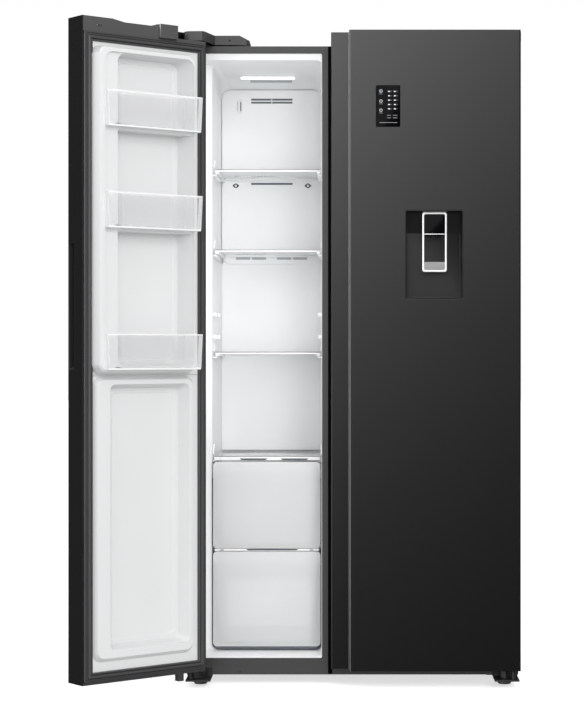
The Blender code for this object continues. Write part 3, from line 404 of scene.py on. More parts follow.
def tub(axis, inside, wall, steps=6):
    """A moulded tub open at its first ring: inside rings are (a0, a1, b0, b1, radius, height)."""
    deeper = wall if inside[-1][5] > inside[0][5] else -wall
    inner = [(rounded(*ring[:5], steps), ring[5]) for ring in inside]
    outer = [
        (rounded(a0 - wall, a1 + wall, b0 - wall, b1 + wall, radius + wall, steps),
         height + (deeper if k else 0))
        for k, (a0, a1, b0, b1, radius, height) in enumerate(inside)
    ]
    return loft(axis, [*reversed(outer), *inner])


def hoop(axis, box, profile, radius=0.004, steps=4):
    """A closed frame: a profile of (inset from the outer box, height) carried round a rounded rectangle."""
    a0, a1, b0, b1 = box
    rings = [
        (rounded(a0 + inset, a1 - inset, b0 + inset, b1 - inset, max(radius - inset * 0.2, 0.001), steps),
         height)
        for inset, height in profile
    ]
    return loft(axis, rings, closed=True)


def add(name, shape, surface, body, replaces=(), bevel=0.0, crease=32, slot=None):
    """A finished piece from a shape drawn in the working frame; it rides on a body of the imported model."""
    bmesh.ops.remove_doubles(shape, verts=shape.verts, dist=2e-6)
    bmesh.ops.recalc_face_normals(shape, faces=shape.faces)
    shape.transform(place_of(body))
    mesh = bpy.data.meshes.new(name)
    shape.to_mesh(mesh)
    shape.free()
    mesh.materials.append(surface)
    mesh.polygons.foreach_set("use_smooth", [True] * len(mesh.polygons))
    mesh.set_sharp_from_angle(angle=radians(crease))
    made = bpy.data.objects.new(name, mesh)
    bpy.context.scene.collection.objects.link(made)
    if bevel:
        ease = made.modifiers.new("eased_edges", "BEVEL")
        ease.width = bevel
        ease.segments = 3
        ease.limit_method = "ANGLE"
        ease.angle_limit = radians(25)
        ease.harden_normals = True
    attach(made, body)
    if replaces:
        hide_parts(*replaces)
        slot = slot or SLOT_OF[replaces[0]]
    made.visible_shadow = surface not in SHADOWLESS
    return made


def pierce(made, shape, body):
    """Cuts openings right through a piece and keeps the result as its mesh."""
    shape.transform(place_of(body))
    bmesh.ops.recalc_face_normals(shape, faces=shape.faces)
    mesh = bpy.data.meshes.new("openings")
    shape.to_mesh(mesh)
    shape.free()
    cutter = bpy.data.objects.new("openings", mesh)
    bpy.context.scene.collection.objects.link(cutter)
    step = made.modifiers.new("openings", "BOOLEAN")
    step.operation = "DIFFERENCE"
    step.solver = "EXACT"
    step.object = cutter
    bpy.context.view_layer.update()
    result = bpy.data.meshes.new_from_object(made.evaluated_get(bpy.context.evaluated_depsgraph_get()))
    made.modifiers.clear()
    made.data = result
    result.set_sharp_from_angle(angle=radians(32))
    bpy.data.objects.remove(cutter)
    return made


# ---------------------------------------------------------------- plain CAD nodes keep their shape
def dress_cad_nodes():
    """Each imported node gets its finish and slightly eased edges."""
    for node, slot in SLOT_OF.items():
        made = frame["nodes"][node]
        for place in made.material_slots:
            place.material = SURFACES[slot]
        merge = made.modifiers.new("merge", "WELD")
        merge.merge_threshold = 2e-6
        ease = made.modifiers.new("eased_edges", "BEVEL")
        ease.width = 0.0005
        ease.segments = 2
        ease.limit_method = "ANGLE"
        ease.angle_limit = radians(35)


dress_cad_nodes()
OWN_FINISH = {
    "front_frame": FRAME_GREY, "freezer_door_top_cap": CAP_GREY, "fridge_door_top_cap": CAP_GREY,
}
for node, surface in OWN_FINISH.items():
    frame["nodes"][node].material_slots[0].material = surface


# ---------------------------------------------------------------- freezer compartment
def cavity(mouth, steps):
    """Rings of a liner: how far each lies inside the mouth on the left, right, bottom and top, radius
    and depth."""
    x0, x1, y0, z0, z1 = mouth
    return [
        (x0 + left, x1 - right, z0 + low, z1 - high, radius, y0 + deep)
        for left, right, low, high, radius, deep in steps
    ]


LINER_WALL = 0.0025


def mouth_of(node):
    x0, x1, y0, _, z0, z1 = span(node)
    return x0 + LINER_WALL, x1 - LINER_WALL, y0, z0 + LINER_WALL, z1 - LINER_WALL


def freezer_liner():
    """The mouth has a front-facing lip at the top; the ceiling runs level to the lamp and then slopes
    down."""
    rings = cavity(mouth_of("freezer_liner"), [
        (0.0000, 0.0000, 0.0000, 0.0000, 0.003, 0.0000), (0.0002, 0.0000, 0.0008, 0.0160, 0.012, 0.0030),
        (0.0005, 0.0000, 0.0078, 0.0163, 0.014, 0.0409), (0.0175, 0.0000, 0.0088, 0.0163, 0.018, 0.0709),
        (0.0190, 0.0015, 0.0098, 0.0163, 0.022, 0.2750), (0.0190, 0.0015, 0.0098, 0.0170, 0.022, 0.2800),
        (0.0195, 0.0020, 0.0098, 0.0175, 0.024, 0.3290), (0.0215, 0.0040, 0.0098, 0.0438, 0.032, 0.4040),
        (0.0250, 0.0070, 0.0110, 0.0480, 0.034, 0.4109), (0.0375, 0.0200, 0.2478, 0.0648, 0.012, 0.4111),
        (0.0395, 0.0220, 0.2528, 0.0698, 0.010, 0.4959),
    ])
    add("freezer_liner_skin", tub("y", rings, LINER_WALL, 10), WHITE, "cabinet", ["freezer_liner"],
        bevel=0.0014)


shelf_left, shelf_right = span("freezer_shelf_upper")[:2]
FREEZER_WALLS = (("left", shelf_left - 0.0050, 1), ("right", shelf_right + 0.0030, -1))
FREEZER_MIDDLE = (FREEZER_WALLS[0][1] + FREEZER_WALLS[1][1]) / 2


def wall_supports():
    """Ledges that the shelves and the drawer cover lie on, spare ones, and ribs above the shelves."""
    bite = 0.0012
    for name in ("freezer_shelf_upper", "freezer_shelf_middle", "freezer_shelf_lower",
                 "freezer_drawer_cover"):
        y0, _, z0, z1 = span(name)[2:]
        start, end, top, under = y0 + 0.012, y0 + 0.175, z0 - 0.0010, z0 - 0.0090
        outline = [(start, top), (end, top), (end, under), (start + 0.028, under), (start, top - 0.0035)]
        low, high, near, lean, wide = z1 + 0.004, z1 + 0.030, y0 + 0.020, 0.040, 0.007
        rib = [(near, low), (near + wide, low), (near + wide + lean, high), (near + lean, high)]
        for side, wall, sign in FREEZER_WALLS:
            reach = sorted((wall - sign * bite, wall + sign * 0.0100))
            add(f"{name}.ledge_{side}", prism("x", outline, *reach), TRIM_WHITE, "cabinet", bevel=0.0012)
            reach = sorted((wall - sign * bite, wall + sign * 0.0024))
            add(f"{name}.rib_{side}", prism("x", rib, *reach), TRIM_WHITE, "cabinet", bevel=0.0008)
    depths = (0.205, 0.315)
    for level in (1.0190, 0.9570):
        for side, wall, sign in FREEZER_WALLS:
            for k, depth in enumerate(depths):
                reach = sorted((wall - sign * bite, wall + sign * 0.0095))
                post = slab("x", depth, depth + 0.030, level - 0.0120, level, 0.004, *reach)
                add(f"spare_support_{int(level * 1000)}_{side}_{k}", post, WHITE, "cabinet")


def duct_cover():
    """Back wall of the freezer: a raised upper part over a lower one, with air slots, a sensor and
    screw caps."""
    x0, x1, y0, y1, z0, z1 = span("freezer_duct_cover")
    middle, split = (x0 + x1) / 2, z1 - 0.5125
    front = y0 - 0.0035
    lower = slab("y", x0, x1, z0, split + 0.020, 0.024, y0, y1)
    add("duct_cover_lower", lower, WHITE, "cabinet", ["freezer_duct_cover"])
    upper = slab("y", x0, x1, split, z1, 0.026, front, y0 - FACE, edge=0.0025)
    made = add("duct_cover_upper", upper, WHITE, "cabinet")

    holes = bmesh.new()
    through = (y0 - 0.01, y1 + 0.02)

    def opening(a, b, low, high, radius=0.001):
        prism("y", rounded(a, b, low, high, radius, 3), *through, holes)

    # Plates just behind the openings are painted shade, dark or pale grey, where the slots look into shadow.
    def backing(name, a, b, low, high, surface):
        add(name, slab("y", a, b, low, high, 0.001, y0 - 0.0012, y0 - FACE, 0.0003), surface, "cabinet")

    half, rib, margin = 0.0609, 0.0010, 0.0010
    top_rows = ((z1 - 0.0308, z1 - 0.0250), (z1 - 0.0397, z1 - 0.0340))
    middle_row = (z1 - 0.2790, z1 - 0.2730)
    low_row, low_starts, low_length = (z1 - 0.4990, z1 - 0.4922), (-0.1059, -0.0588, 0.0153, 0.0624), 0.0420
    cap_z, caps = z1 - 0.2814, (("left", middle - 0.1059), ("right", middle + 0.1063))
    sensor_row, sensor_wide, sensor_narrow = (z1 - 0.0615, z1 - 0.0345), (-0.0930, -0.0900), (-0.1010,
                                                                                              -0.0990)
    for row in top_rows:
        opening(middle - half, middle - rib, *row)
        opening(middle + rib, middle + half, *row)
    opening(middle - half, middle + half, *middle_row, 0.0012)
    for start in low_starts:
        opening(middle + start, middle + start + low_length, *low_row)
    for _, x in caps:
        prism("y", lozenge(x, cap_z, 0.0096, 0.0072), *through, holes)
    opening(middle + sensor_wide[0], middle + sensor_wide[1], *sensor_row, 0.0008)
    opening(middle + sensor_narrow[0], middle + sensor_narrow[1], *sensor_row, 0.0006)
    pierce(made, holes, "cabinet")

    a, b = middle - half - 2 * margin, middle + half + 2 * margin
    backing("air_slot_shadow_top", a, b, top_rows[1][0] - 0.0023, top_rows[0][1] + 0.0015, RECESS)
    backing("air_slot_shadow_middle", a, b, middle_row[0] - margin, middle_row[1] + 0.0012, RECESS)
    backing("air_slot_shadow_low", middle - 0.1075, middle + 0.1065, low_row[0] - margin,
            low_row[1] + 0.0012,
            PALE_SHADE_PAINT)
    low, high = sensor_row[0] - 0.0007, sensor_row[1] + 0.0007
    backing("sensor_shadow", middle + sensor_wide[0] - 0.0005, middle + sensor_wide[1] + 0.0005, low, high,
            RECESS)
    backing("sensor_pale", middle + sensor_narrow[0] - 0.0005, middle + sensor_narrow[1] + 0.0005, low,
            high,
            PALE_SHADE_PAINT)
    for side, x in caps:
        # A dark ring round each screw cap is painted shade in its groove.
        dark = prism("y", lozenge(x, cap_z, 0.0099, 0.0075), y0 - 0.0016, y0 - 0.0005)
        add(f"screw_cap_groove_shadow_{side}", dark, DEEP_SHADE_PAINT, "cabinet")
        button = loft("y", [
            (circle(x, cap_z, 0.0034), y0 - 0.0010), (circle(x, cap_z, 0.0034), y0 - 0.0030),
            (circle(x, cap_z, 0.0026), y0 - 0.0036),
        ])
        add(f"screw_cap_button_{side}", button, WHITE, "cabinet")
    box = (middle - 0.1037, middle - 0.0875, sensor_row[0] - 0.0075, sensor_row[1] + 0.0075)
    ridge = [(0, front + 0.0001), (0.0002, front - 0.0015), (0.0008, front - 0.0021),
             (0.0014, front - 0.0015),
             (0.0016, front + 0.0001)]
    add("sensor_cover_edge", hoop("y", box, ridge, 0.008, 8), WHITE, "cabinet")


def ceiling_lamp():
    x0, x1, y0, y1, z0, z1 = span("freezer_lamp")
    bar = slab("z", x0, x1, y0, y1, 0.0085, z0, z1, edge=0.003)
    add("freezer_lamp_bar", bar, LIT, "cabinet", ["freezer_lamp"])
    slope_y, slope_z, pitch, deep, thick = y1 + 0.018, z0 + 0.0006, -0.351, 0.014, 0.0030
    low = [(slope_y, slope_z), (slope_y + deep, slope_z + deep * pitch)]
    outline = [*low, *((y, z + thick) for y, z in reversed(low))]
    # The slot behind the lamp is a pale grey bar: painted shade.
    slot = prism("x", outline, x0 + 0.0261, x1 - 0.0091)
    add("ceiling_air_slot", slot, PALE_SHADE_PAINT, "cabinet", bevel=0.0006)
    frame_box = (x0 - 0.004, x1 + 0.004, y0 - 0.004, y1 + 0.004)
    rim = hoop("z", frame_box, [(0, z1 - 0.0005), (0, z1 - 0.003), (0.0035, z1 - 0.003),
                                (0.0035, z1 - 0.0005)],
               0.0115, 10)
    add("freezer_lamp_rim", rim, WHITE, "cabinet")


def glass_shelf(node):
    """Glass plate between a grey-lipped front trim, a grey-lipped rear strip and two side runners."""
    x0, x1, y0, y1, z0, z1 = span(node)
    body = BODY_OF[node]
    plate = slab("z", x0 + 0.003, x1 - 0.003, y0 + 0.004, y1 - 0.003, 0.002, z1 - 0.0045, z1 - 0.0005)
    add(f"{node}.glass", plate, GLASS, body, [node])
    lip, band = 0.0024, 0.0064
    for word, depth, a, b in (("front", 0.0050, y0, 1), ("rear", 0.0040, y1, -1)):
        ya, yb = sorted((a, a + b * depth))
        bar = slab("x", ya, yb, z1 - lip, z1, 0.0009, x0, x1, 0.0006)
        add(f"{node}.{word}_lip", bar, TRIM_GREY, body)
        bar = slab("x", ya, yb, z1 - band, z1 - lip - 0.0001, 0.0009, x0, x1, 0.0006)
        add(f"{node}.{word}_band", bar, TRIM_WHITE, body)
    for side, a, b in (("left", x0, x0 + 0.0100), ("right", x1 - 0.0100, x1)):
        runner = slab("y", a, b, z0, z1 - 0.0047, 0.0012, y0 + 0.0052, y1 - 0.0042, 0.0006)
        add(f"{node}.runner_{side}", runner, TRIM_WHITE, body)


def drawer_cover():
    """The plate over the drawers; its front trim has two finger slots cut from below."""
    node = "freezer_drawer_cover"
    x0, x1, y0, y1, z0, z1 = span(node)
    plate = slab("z", x0 + 0.003, x1 - 0.003, y0 + 0.010, y1 - 0.003, 0.002, z1 - 0.0045, z1 - 0.0005)
    add(f"{node}.glass", plate, GLASS, "cabinet", [node])
    lip = slab("x", y0, y0 + 0.0120, z1 - 0.0020, z1, 0.0008, x0, x1, 0.0005)
    add(f"{node}.front_lip", lip, TRIM_GREY, "cabinet")
    bar = slab("x", y0 + 0.0006, y0 + 0.0120, z0, z1 - 0.0021, 0.0012, x0, x1, 0.0006)
    made = add(f"{node}.front_band", bar, TRIM_WHITE, "cabinet")
    slots = bmesh.new()
    length, slant = 0.078, 0.006
    for x in (-0.314, -0.200):
        top, under = z1 - 0.0065, z1 - 0.0115
        outline = [(x, top), (x + length, top), (x + length - slant, under), (x + slant, under)]
        prism("y", outline, y0 - 0.01, y0 + 0.009, slots)
        # The dark plate at the back of each finger slot is painted shadow.
        back = prism("y", outline, y0 + 0.0086, y0 + 0.0096)
        add(f"{node}.slot_{int(-x * 1000)}", back, RECESS, "cabinet")
    pierce(made, slots, "cabinet")
    rear = slab("x", y1 - 0.0090, y1, z1 - 0.0060, z1 + 0.0010, 0.0012, x0, x1, 0.0006)
    add(f"{node}.rear_strip", rear, TRIM_WHITE, "cabinet")
    line = slab("x", y1 - 0.0100, y1 - 0.0092, z1 - 0.0003, z1 + 0.0012, 0.0003, x0, x1, 0.0002)
    add(f"{node}.rear_line", line, TRIM_GREY, "cabinet")
    for side, a, b in (("left", x0, x0 + 0.0100), ("right", x1 - 0.0100, x1)):
        runner = slab("y", a, b, z0, z1 - 0.0047, 0.0012, y0 + 0.0122, y1 - 0.0096, 0.0006)
        add(f"{node}.runner_{side}", runner, TRIM_WHITE, "cabinet")


def drawer(node, rail):
    """Frosted front with a raised band below its rim, a tapered tub behind it and flanges that run on
    ledges."""
    x0, x1, y0, y1, z0, z1 = span(node)
    body = BODY_OF[node]
    front = slab("y", x0, x1, z0, z1, 0.011, y0, y0 + 0.0034, edge=0.0014)
    add(f"{node}.front", front, DRAWER_FRONT, body, [node])
    band = slab("y", x0 + 0.0006, x1 - 0.0006, rail - 0.0090, z1 - 0.0015, 0.010, y0 + 0.0036, y0 + 0.0060,
                edge=0.001)
    add(f"{node}.rim_band", band, BIN_EDGE, body)
    flange, wall, taper = 0.0115, 0.0022, 0.014
    floor_z, deck = z0 + 0.016, rail + 0.0022
    inside = [
        (x0 + flange, x1 - flange, y0 + 0.0066, y1 - 0.012, 0.012, deck),
        (x0 + flange + 0.004, x1 - flange - 0.004, y0 + 0.0075, y1 - 0.016, 0.014, (deck + floor_z) / 2),
        (x0 + flange + taper, x1 - flange - taper, y0 + 0.0090, y1 - 0.026, 0.016, floor_z + 0.006),
        (x0 + flange + taper + 0.006, x1 - flange - taper - 0.006, y0 + 0.0130, y1 - 0.032, 0.014, floor_z),
    ]
    add(f"{node}.tub", tub("z", inside, wall), DRAWER_TUB, body)
    for side, a, b in (("left", x0 + 0.0010, x0 + flange - 0.003),
                       ("right", x1 - flange + 0.003, x1 - 0.0010)):
        runner = slab("z", a, b, y0 + 0.0066, y1 - 0.010, 0.002, rail + 0.0003, deck + 0.0008, 0.0006)
        add(f"{node}.runner_{side}", runner, TRIM_WHITE, body)


def drawer_panel(node, inset, low, high):
    """A paler panel moulded into a drawer's front."""
    x0, x1, y0 = span(node)[:3]
    panel = slab("y", x0 + inset, x1 - inset * 0.7, low, high, 0.008, y0 + 0.0036, y0 + 0.0052, edge=0.0006)
    add(f"{node}.front_panel", panel, BIN_EDGE, BODY_OF[node])


def drawer_surround():
    """Painted shadow strips in the gaps beside and under the drawers, and the finger slot between the two fronts.
    """
    x0, x1, y0, _, z0, z1 = span("freezer_drawer_lower")
    upper_low, top = span("freezer_drawer_upper")[4:]
    (_, left, _), (_, right, _) = FREEZER_WALLS
    depth = y0 + 0.0110
    # Near-black strips behind the gaps beside the drawers are painted shadow.
    for side, a, b in (("left", left - FACE, x0 + FACE), ("right", x1 - FACE, right + FACE)):
        for word, low, high in (("lower", z0 + 0.015, z1 - 0.040), ("upper", z1 + 0.018, top - 0.045)):
            strip = slab("y", a, b, low, high, 0.0006, depth, depth + 0.0060, 0.0004)
            add(f"drawer_gap_shadow_{side}_{word}", strip, DEEP_SHADE_PAINT, "cabinet")
    # The dark trough under the lower drawer is painted shadow as well.
    bottom = z0 - 0.0089
    trough = [(x0 + 0.010, bottom), (x1 - 0.010, bottom), (x1 - 0.003, z0 + 0.006),
              (x0 + 0.003, z0 + 0.006)]
    add("drawer_seam_bottom", prism("y", trough, depth, depth + 0.006), RECESS, "cabinet", bevel=0.002)
    rail_low, rail_high = z1 + 0.0010, upper_low - 0.0010
    ledge = slab("x", y0 + 0.0030, y0 + 0.0200, rail_low, rail_high, 0.002, x0 + 0.004, x1 - 0.004, 0.0008)
    made = add("drawer_divider", ledge, TRIM_WHITE, "cabinet")
    middle, half, slant = FREEZER_MIDDLE + 0.0145, 0.073, 0.006
    outline = [
        (middle - half, rail_high - 0.0004), (middle + half, rail_high - 0.0004),
        (middle + half - slant, rail_low + 0.0016), (middle - half + slant, rail_low + 0.0016),
    ]
    pierce(made, prism("y", outline, y0 - 0.01, y0 + 0.0140), "cabinet")
    add("drawer_divider_shadow", prism("y", outline, y0 + 0.0136, y0 + 0.0146), RECESS, "cabinet")
    # The hooks on the divider are pale grey marks of painted shade.
    for side, x in (("left", x0 + 0.020), ("right", x1 - 0.030)):
        hook = slab("y", x, x + 0.010, rail_low + 0.0008, rail_high - 0.0006, 0.0012, y0 + 0.0018,
                    y0 + 0.0031,
                    0.0004)
        add(f"drawer_hook_{side}", hook, PALE_SHADE_PAINT, "cabinet")


freezer_liner()
wall_supports()
duct_cover()
ceiling_lamp()
for word in ("upper", "middle", "lower"):
    glass_shelf(f"freezer_shelf_{word}")
drawer_cover()
drawer("freezer_drawer_upper", 0.5760)
drawer("freezer_drawer_lower", 0.3300)
drawer_panel("freezer_drawer_lower", 0.038, 0.150, 0.277)
drawer_surround()

# ---------------------------------------------------------------- freezer door, drawn closed
SHEET = 0.0022               # the door liners' thickness


def moulded_sheet(rings):
    """A thin moulded sheet through rings (x0, x1, z0, z1, radius, y), from its flange inwards, and its
    under face."""
    seen = [(rounded(*box, 8), y) for *box, y in rings]
    under = [(outline, y - SHEET) for outline, y in seen]
    return loft("y", [*reversed(under), *seen])


def grown(box, by):
    x0, x1, z0, z1 = box
    return x0 - by, x1 + by, z0 - by, z1 + by


def inset_box(box, left, right, low, high):
    x0, x1, z0, z1 = box
    return x0 + left, x1 - right, z0 + low, z1 - high


def freezer_door_liner():
    """Two moulded sheets that meet at a seam, the ledges under the bins, and the foam behind them."""
    x0, x1, _, _, z0, z1 = span("freezer_door_liner")
    base = span("freezer_door_gasket")[2] - 0.0003
    seam, inset = 0.849, 0.004
    ridge, shelf, deep = 0.1170, 0.1090, 0.0600
    above, below = (x0, x1, seam, z1), (x0, x1, z0, seam)
    outer, opening = inset_box(above, 0.0540, 0.0190, 0.0030, 0.0340), inset_box(above, 0.0640, 0.0385,
                                                                                 0.0200, 0.0520)
    step, well = inset_box(above, 0.0655, 0.0814, 0.0230, 0.0540), inset_box(above, 0.0800, 0.0910, 0.0310,
                                                                             0.0580)
    upper = moulded_sheet([
        (x0 + inset, x1 - inset, seam, z1 - inset, 0.002, base), (*outer, 0.026, base),
        (*grown(outer, -0.0045), 0.022, ridge - 0.006), (*grown(outer, -0.0080), 0.020, ridge),
        (*opening, 0.024, ridge), (*grown(opening, -0.0010), 0.024, shelf), (*step, 0.022, shelf),
        (*well, 0.022, deep), (*grown(well, -0.012), 0.014, deep),
        (*grown(well, -0.014), 0.013, deep - 0.0018),
    ])
    add("door_liner_upper", upper, DOOR_WHITE, "freezer_door", ["freezer_door_liner"], bevel=0.0016)
    low_ridge, low_deep = 0.0900, 0.0550
    outer, opening = inset_box(below, 0.0400, 0.0250, 0.0490, 0.0030), inset_box(below, 0.0600, 0.0710,
                                                                                 0.0790, 0.0240)
    well = inset_box(below, 0.0760, 0.0830, 0.0890, 0.0350)
    ledge_left = opening[0] + 0.002
    lower = moulded_sheet([
        (x0 + inset, x1 - inset, z0 + inset, seam, 0.002, base), (*outer, 0.026, base),
        (*grown(outer, -0.0060), 0.022, low_ridge - 0.006), (*grown(outer, -0.0100), 0.020, low_ridge),
        (*opening, 0.016, low_ridge), (*well, 0.012, low_deep),
        (*grown(well, -0.012), 0.010, low_deep), (*grown(well, -0.014), 0.010, low_deep - 0.0018),
    ])
    add("door_liner_lower", lower, DOOR_WHITE, "freezer_door", bevel=0.0022)
    for word in ("upper", "middle"):
        top = span(f"freezer_bin_{word}")[4] + 0.0160
        rib = slab("y", ledge_left, x1 - 0.0395, top - 0.0190, top, 0.004, deep - 0.0030, shelf - 0.0010,
                   0.0045)
        add(f"bin_ledge_{word}", rib, DOOR_WHITE, "freezer_door")
    core = block(x0 + 0.001, x1 - 0.0200, 0.0022, low_deep - SHEET - 0.0022, z0 + 0.001, z1 - 0.001)
    add("door_foam_core", core, FOAM, "freezer_door", ["freezer_door_foam"], bevel=0.001)


def gasket(node):
    """Soft frame with three ribs and a round bulb that meets the cabinet."""
    y0, y1 = span(node)[2:4]
    x0, x1, _, _, z0, z1 = span(node.replace("gasket", "liner"))
    body = BODY_OF[node]
    deep = y1 - y0
    profile = [
        (0.0000, 0.00), (0.0000, 0.30), (0.0010, 0.42), (0.0024, 0.42), (0.0034, 0.24), (0.0048, 0.24),
        (0.0058, 0.50), (0.0076, 0.50), (0.0086, 0.30), (0.0098, 0.30), (0.0108, 0.86), (0.0124, 0.98),
        (0.0142, 1.00), (0.0160, 0.98), (0.0172, 0.84), (0.0178, 0.40), (0.0190, 0.34), (0.0200, 0.62),
        (0.0214, 0.70), (0.0228, 0.62), (0.0238, 0.30), (0.0245, 0.00),
    ]
    ring = [(inset, y0 + deep * share) for inset, share in profile]
    add(f"{node}.ribbed", hoop("y", (x0, x1, z0, z1), ring, 0.004, 3), RUBBER, body, [node], crease=50)


def door_bin(node):
    """Clear bin: flared front tray, a narrower body behind it, a thick foot rim and a row of small
    drain slots."""
    x0, x1, y0, y1, z0, z1 = span(node)
    z0 += 0.0045
    body = BODY_OF[node]
    tray_back, thin, flare, foot = y1 - 0.0185, 0.0026, 0.005, 0.0050
    # The lowest bin stays clear of the seam between the two sheets.
    lowest = max(z0, 0.888) if node == "freezer_bin_lower" else z0
    tray = [
        (x0 + thin, x1 - thin, tray_back + thin, y1 - thin, 0.004, z1),
        (x0 + thin + flare, x1 - thin - flare, tray_back + thin, y1 - thin - 0.003, 0.004, z0 + thin),
    ]
    add(f"{node}.tray", tub("z", tray, thin), BIN_CLEAR, body, [node])
    margin = 0.0450 if x1 < 0 else 0.0390
    inner = [
        (x0 + margin, x1 - margin - 0.010, y0 + thin, tray_back - 0.0004, 0.006, z1 - 0.001),
        (x0 + margin + 0.004, x1 - margin - 0.014, y0 + thin + 0.004, tray_back - 0.0004, 0.006,
         lowest + thin),
    ]
    add(f"{node}.body", tub("z", inner, thin), BIN_CLEAR, body)
    rim = slab("z", x0 + flare, x1 - flare, tray_back + 0.0004, y1 - 0.0024, 0.003, z0, z0 + foot, 0.0012)
    add(f"{node}.foot_rim", rim, TRIM_WHITE, body)
    lip = hoop("z", (x0, x1, tray_back, y1), [(0, z1 - 0.0030), (0, z1), (thin, z1), (thin, z1 - 0.0030)],
               0.005, 4)
    add(f"{node}.top_lip", lip, BIN_EDGE, body)
    for side, a in (("left", x0), ("right", x1)):
        sign = 1 if side == "left" else -1
        ends = sorted((a, a + sign * thin))
        lows = sorted((a + sign * flare, a + sign * (flare + thin)))
        edge = loft("z", [
            ([(lows[0], tray_back), (lows[1], tray_back), (lows[1], y1 - 0.003), (lows[0], y1 - 0.003)],
             z0 + 0.004),
            ([(ends[0], tray_back), (ends[1], tray_back), (ends[1], y1 - 0.003), (ends[0], y1 - 0.003)],
             z1),
        ])
        add(f"{node}.end_{side}", edge, BIN_EDGE, body, bevel=0.0006)
    # The drain slots are pale grey dashes and a dark mark: painted shade in the slots.
    count, low = 6, z0 + foot + 0.0002
    pitch = (x1 - x0 - 0.060) / count
    for k in range(count):
        start = x0 + 0.034 + pitch * k
        dash = slab("z", start, start + pitch * 0.62, y1 - 0.0060, y1 - 0.0035, 0.001, low, low + 0.0010,
                    0.0003)
        add(f"{node}.drain_{k}", dash, PALE_SHADE_PAINT, body)
    clip = slab("z", x1 - 0.040, x1 - 0.026, y1 - 0.0065, y1 - 0.0030, 0.001, low, low + 0.0026, 0.0003)
    add(f"{node}.drain_painted_shadow", clip, RECESS, body)


def freezer_door_top():
    """Cap parts on the door's top: a small metal clip, and a thin steel strip on the stop block's edge as a
    painted highlight.
    """
    x0, x1, _, y1, z0, z1 = span("freezer_door_top_cap")
    back = span("freezer_door_gasket")[2] - 0.0003
    a, low = x1 - 0.0547, z0 + 0.0171
    clip = slab("y", a, a + 0.0140, low, low + 0.0035, 0.001, back - 0.001, back + 0.0030, 0.0005)
    add("door_top_clip", clip, CHROME, "freezer_door")
    # The bright steel strip on the stop block's edge is a painted highlight.
    a = x0 + 0.1514
    edge = slab("z", a, a + 0.0013, y1 - 0.0242, y1 - 0.0006, 0.0005, z0 + 0.0046, z1 - 0.0010, 0.0003)
    add("door_stop_painted_highlight", edge, STEEL, "freezer_door")


def freezer_grip():
    """Pocket in the free edge: a slanted face at the front, a deeper slot behind it, with mitred ends."""
    x0, x1, y0, y1, z0, z1 = span("freezer_door_grip")
    wall, mitre = 0.0012, 0.016
    middle = y0 + 0.42 * (y1 - y0)
    pocket = loft("x", [
        (rounded(y0 + 0.0028, y1 - 0.0018, z0 + mitre, z1 - mitre, 0.002, 4), x0),
        (rounded(y0, y1, z0, z1, 0.003, 4), x1),
        (rounded(y0 + wall, y1 - wall, z0 + wall, z1 - wall, 0.002, 4), x1),
        (rounded(middle, y1 - 0.0035, z0 + mitre + 0.002, z1 - mitre - 0.002, 0.0015, 4), x0 + wall),
    ])
    add("door_grip_pocket", pocket, SOFT_BLACK, "freezer_door", ["freezer_door_grip"])
    rim, lip, back = x1 - 0.0006, y0 + wall, (x0 + 0.0030, middle + 0.0006)
    tip = [(rim, lip + 0.0006), (rim - 0.0006, lip + 0.0012), (rim, lip + 0.0012)]
    full = [(rim + 0.0002, lip), back, (rim, lip + 0.0010)]
    face = loft("z", [(tip, z0 + 0.003), (full, z0 + mitre), (full, z1 - mitre), (tip, z1 - 0.003)])
    add("door_grip_slant", face, GLOSSY_DARK, "freezer_door")


freezer_door_liner()
gasket("freezer_door_gasket")
for word in ("upper", "middle", "lower"):
    door_bin(f"freezer_bin_{word}")
freezer_door_top()
freezer_grip()


# ---------------------------------------------------------------- fridge door
def display():
    """Gloss panel with a column of three touch symbols, two rows of level marks and a line under them."""
    x0, x1, y0, y1, z0, z1 = span("display_panel")
    glass = slab("y", x0, x1, z0, z1, 0.003, y0, y1, 0.0006)
    add("display_glass", glass, GLOSS, "fridge_door", ["display_panel"])
    front, sunk = y0 - PROUD, y0 + 0.0004
    across, up = x1 - x0, z1 - z0

    def mark(name, a, b, low, high, surface=ICON):
        stroke = slab("y", a, b, low, high, 0.0003, front, y0 + 0.0005, 0.00005)
        add(f"display_{name}", stroke, surface, "fridge_door")

    left, line = x0 + 0.14 * across, 0.0009
    for k, share in enumerate((0.86, 0.62, 0.40)):
        z = z0 + share * up
        key = (left, left + 0.0085, z - 0.0042, z + 0.0042)
        ring = hoop("y", key, [(0, sunk), (0, front), (line, front), (line, sunk)], 0.0040, 6)
        add(f"display_key_{k}", ring, ICON, "fridge_door")
        mark(f"key_stem_{k}", left + 0.0038, left + 0.0047, z - 0.0018, z + 0.0018)
        mark(f"key_label_{k}", left - 0.0004, left + 0.0089, z - 0.0080, z - 0.0068, DIM_ICON)
    top_row, row_pitch, rows = 0.84, 0.105, 5
    for column, share in enumerate((0.50, 0.74)):
        a = x0 + share * across
        for row in range(rows):
            z = z0 + (top_row - row_pitch * row) * up
            mark(f"level_{column}_{row}", a, a + 0.0050, z, z + 0.0030)
            mark(f"level_name_{column}_{row}", a + 0.0062, a + 0.0096, z + 0.0009, z + 0.0021, DIM_ICON)
    for k, share in enumerate((0.27, 0.21)):
        z = z0 + share * up
        mark(f"row_left_{k}", x0 + 0.46 * across, x0 + 0.62 * across, z, z + 0.0016, DIM_ICON)
        mark(f"row_right_{k}", x0 + 0.70 * across, x0 + 0.88 * across, z, z + 0.0016, DIM_ICON)
    mark("base_line", x0 + 0.14 * across, x1 - 0.12 * across, z0 + 0.10 * up, z0 + 0.10 * up + 0.0006)


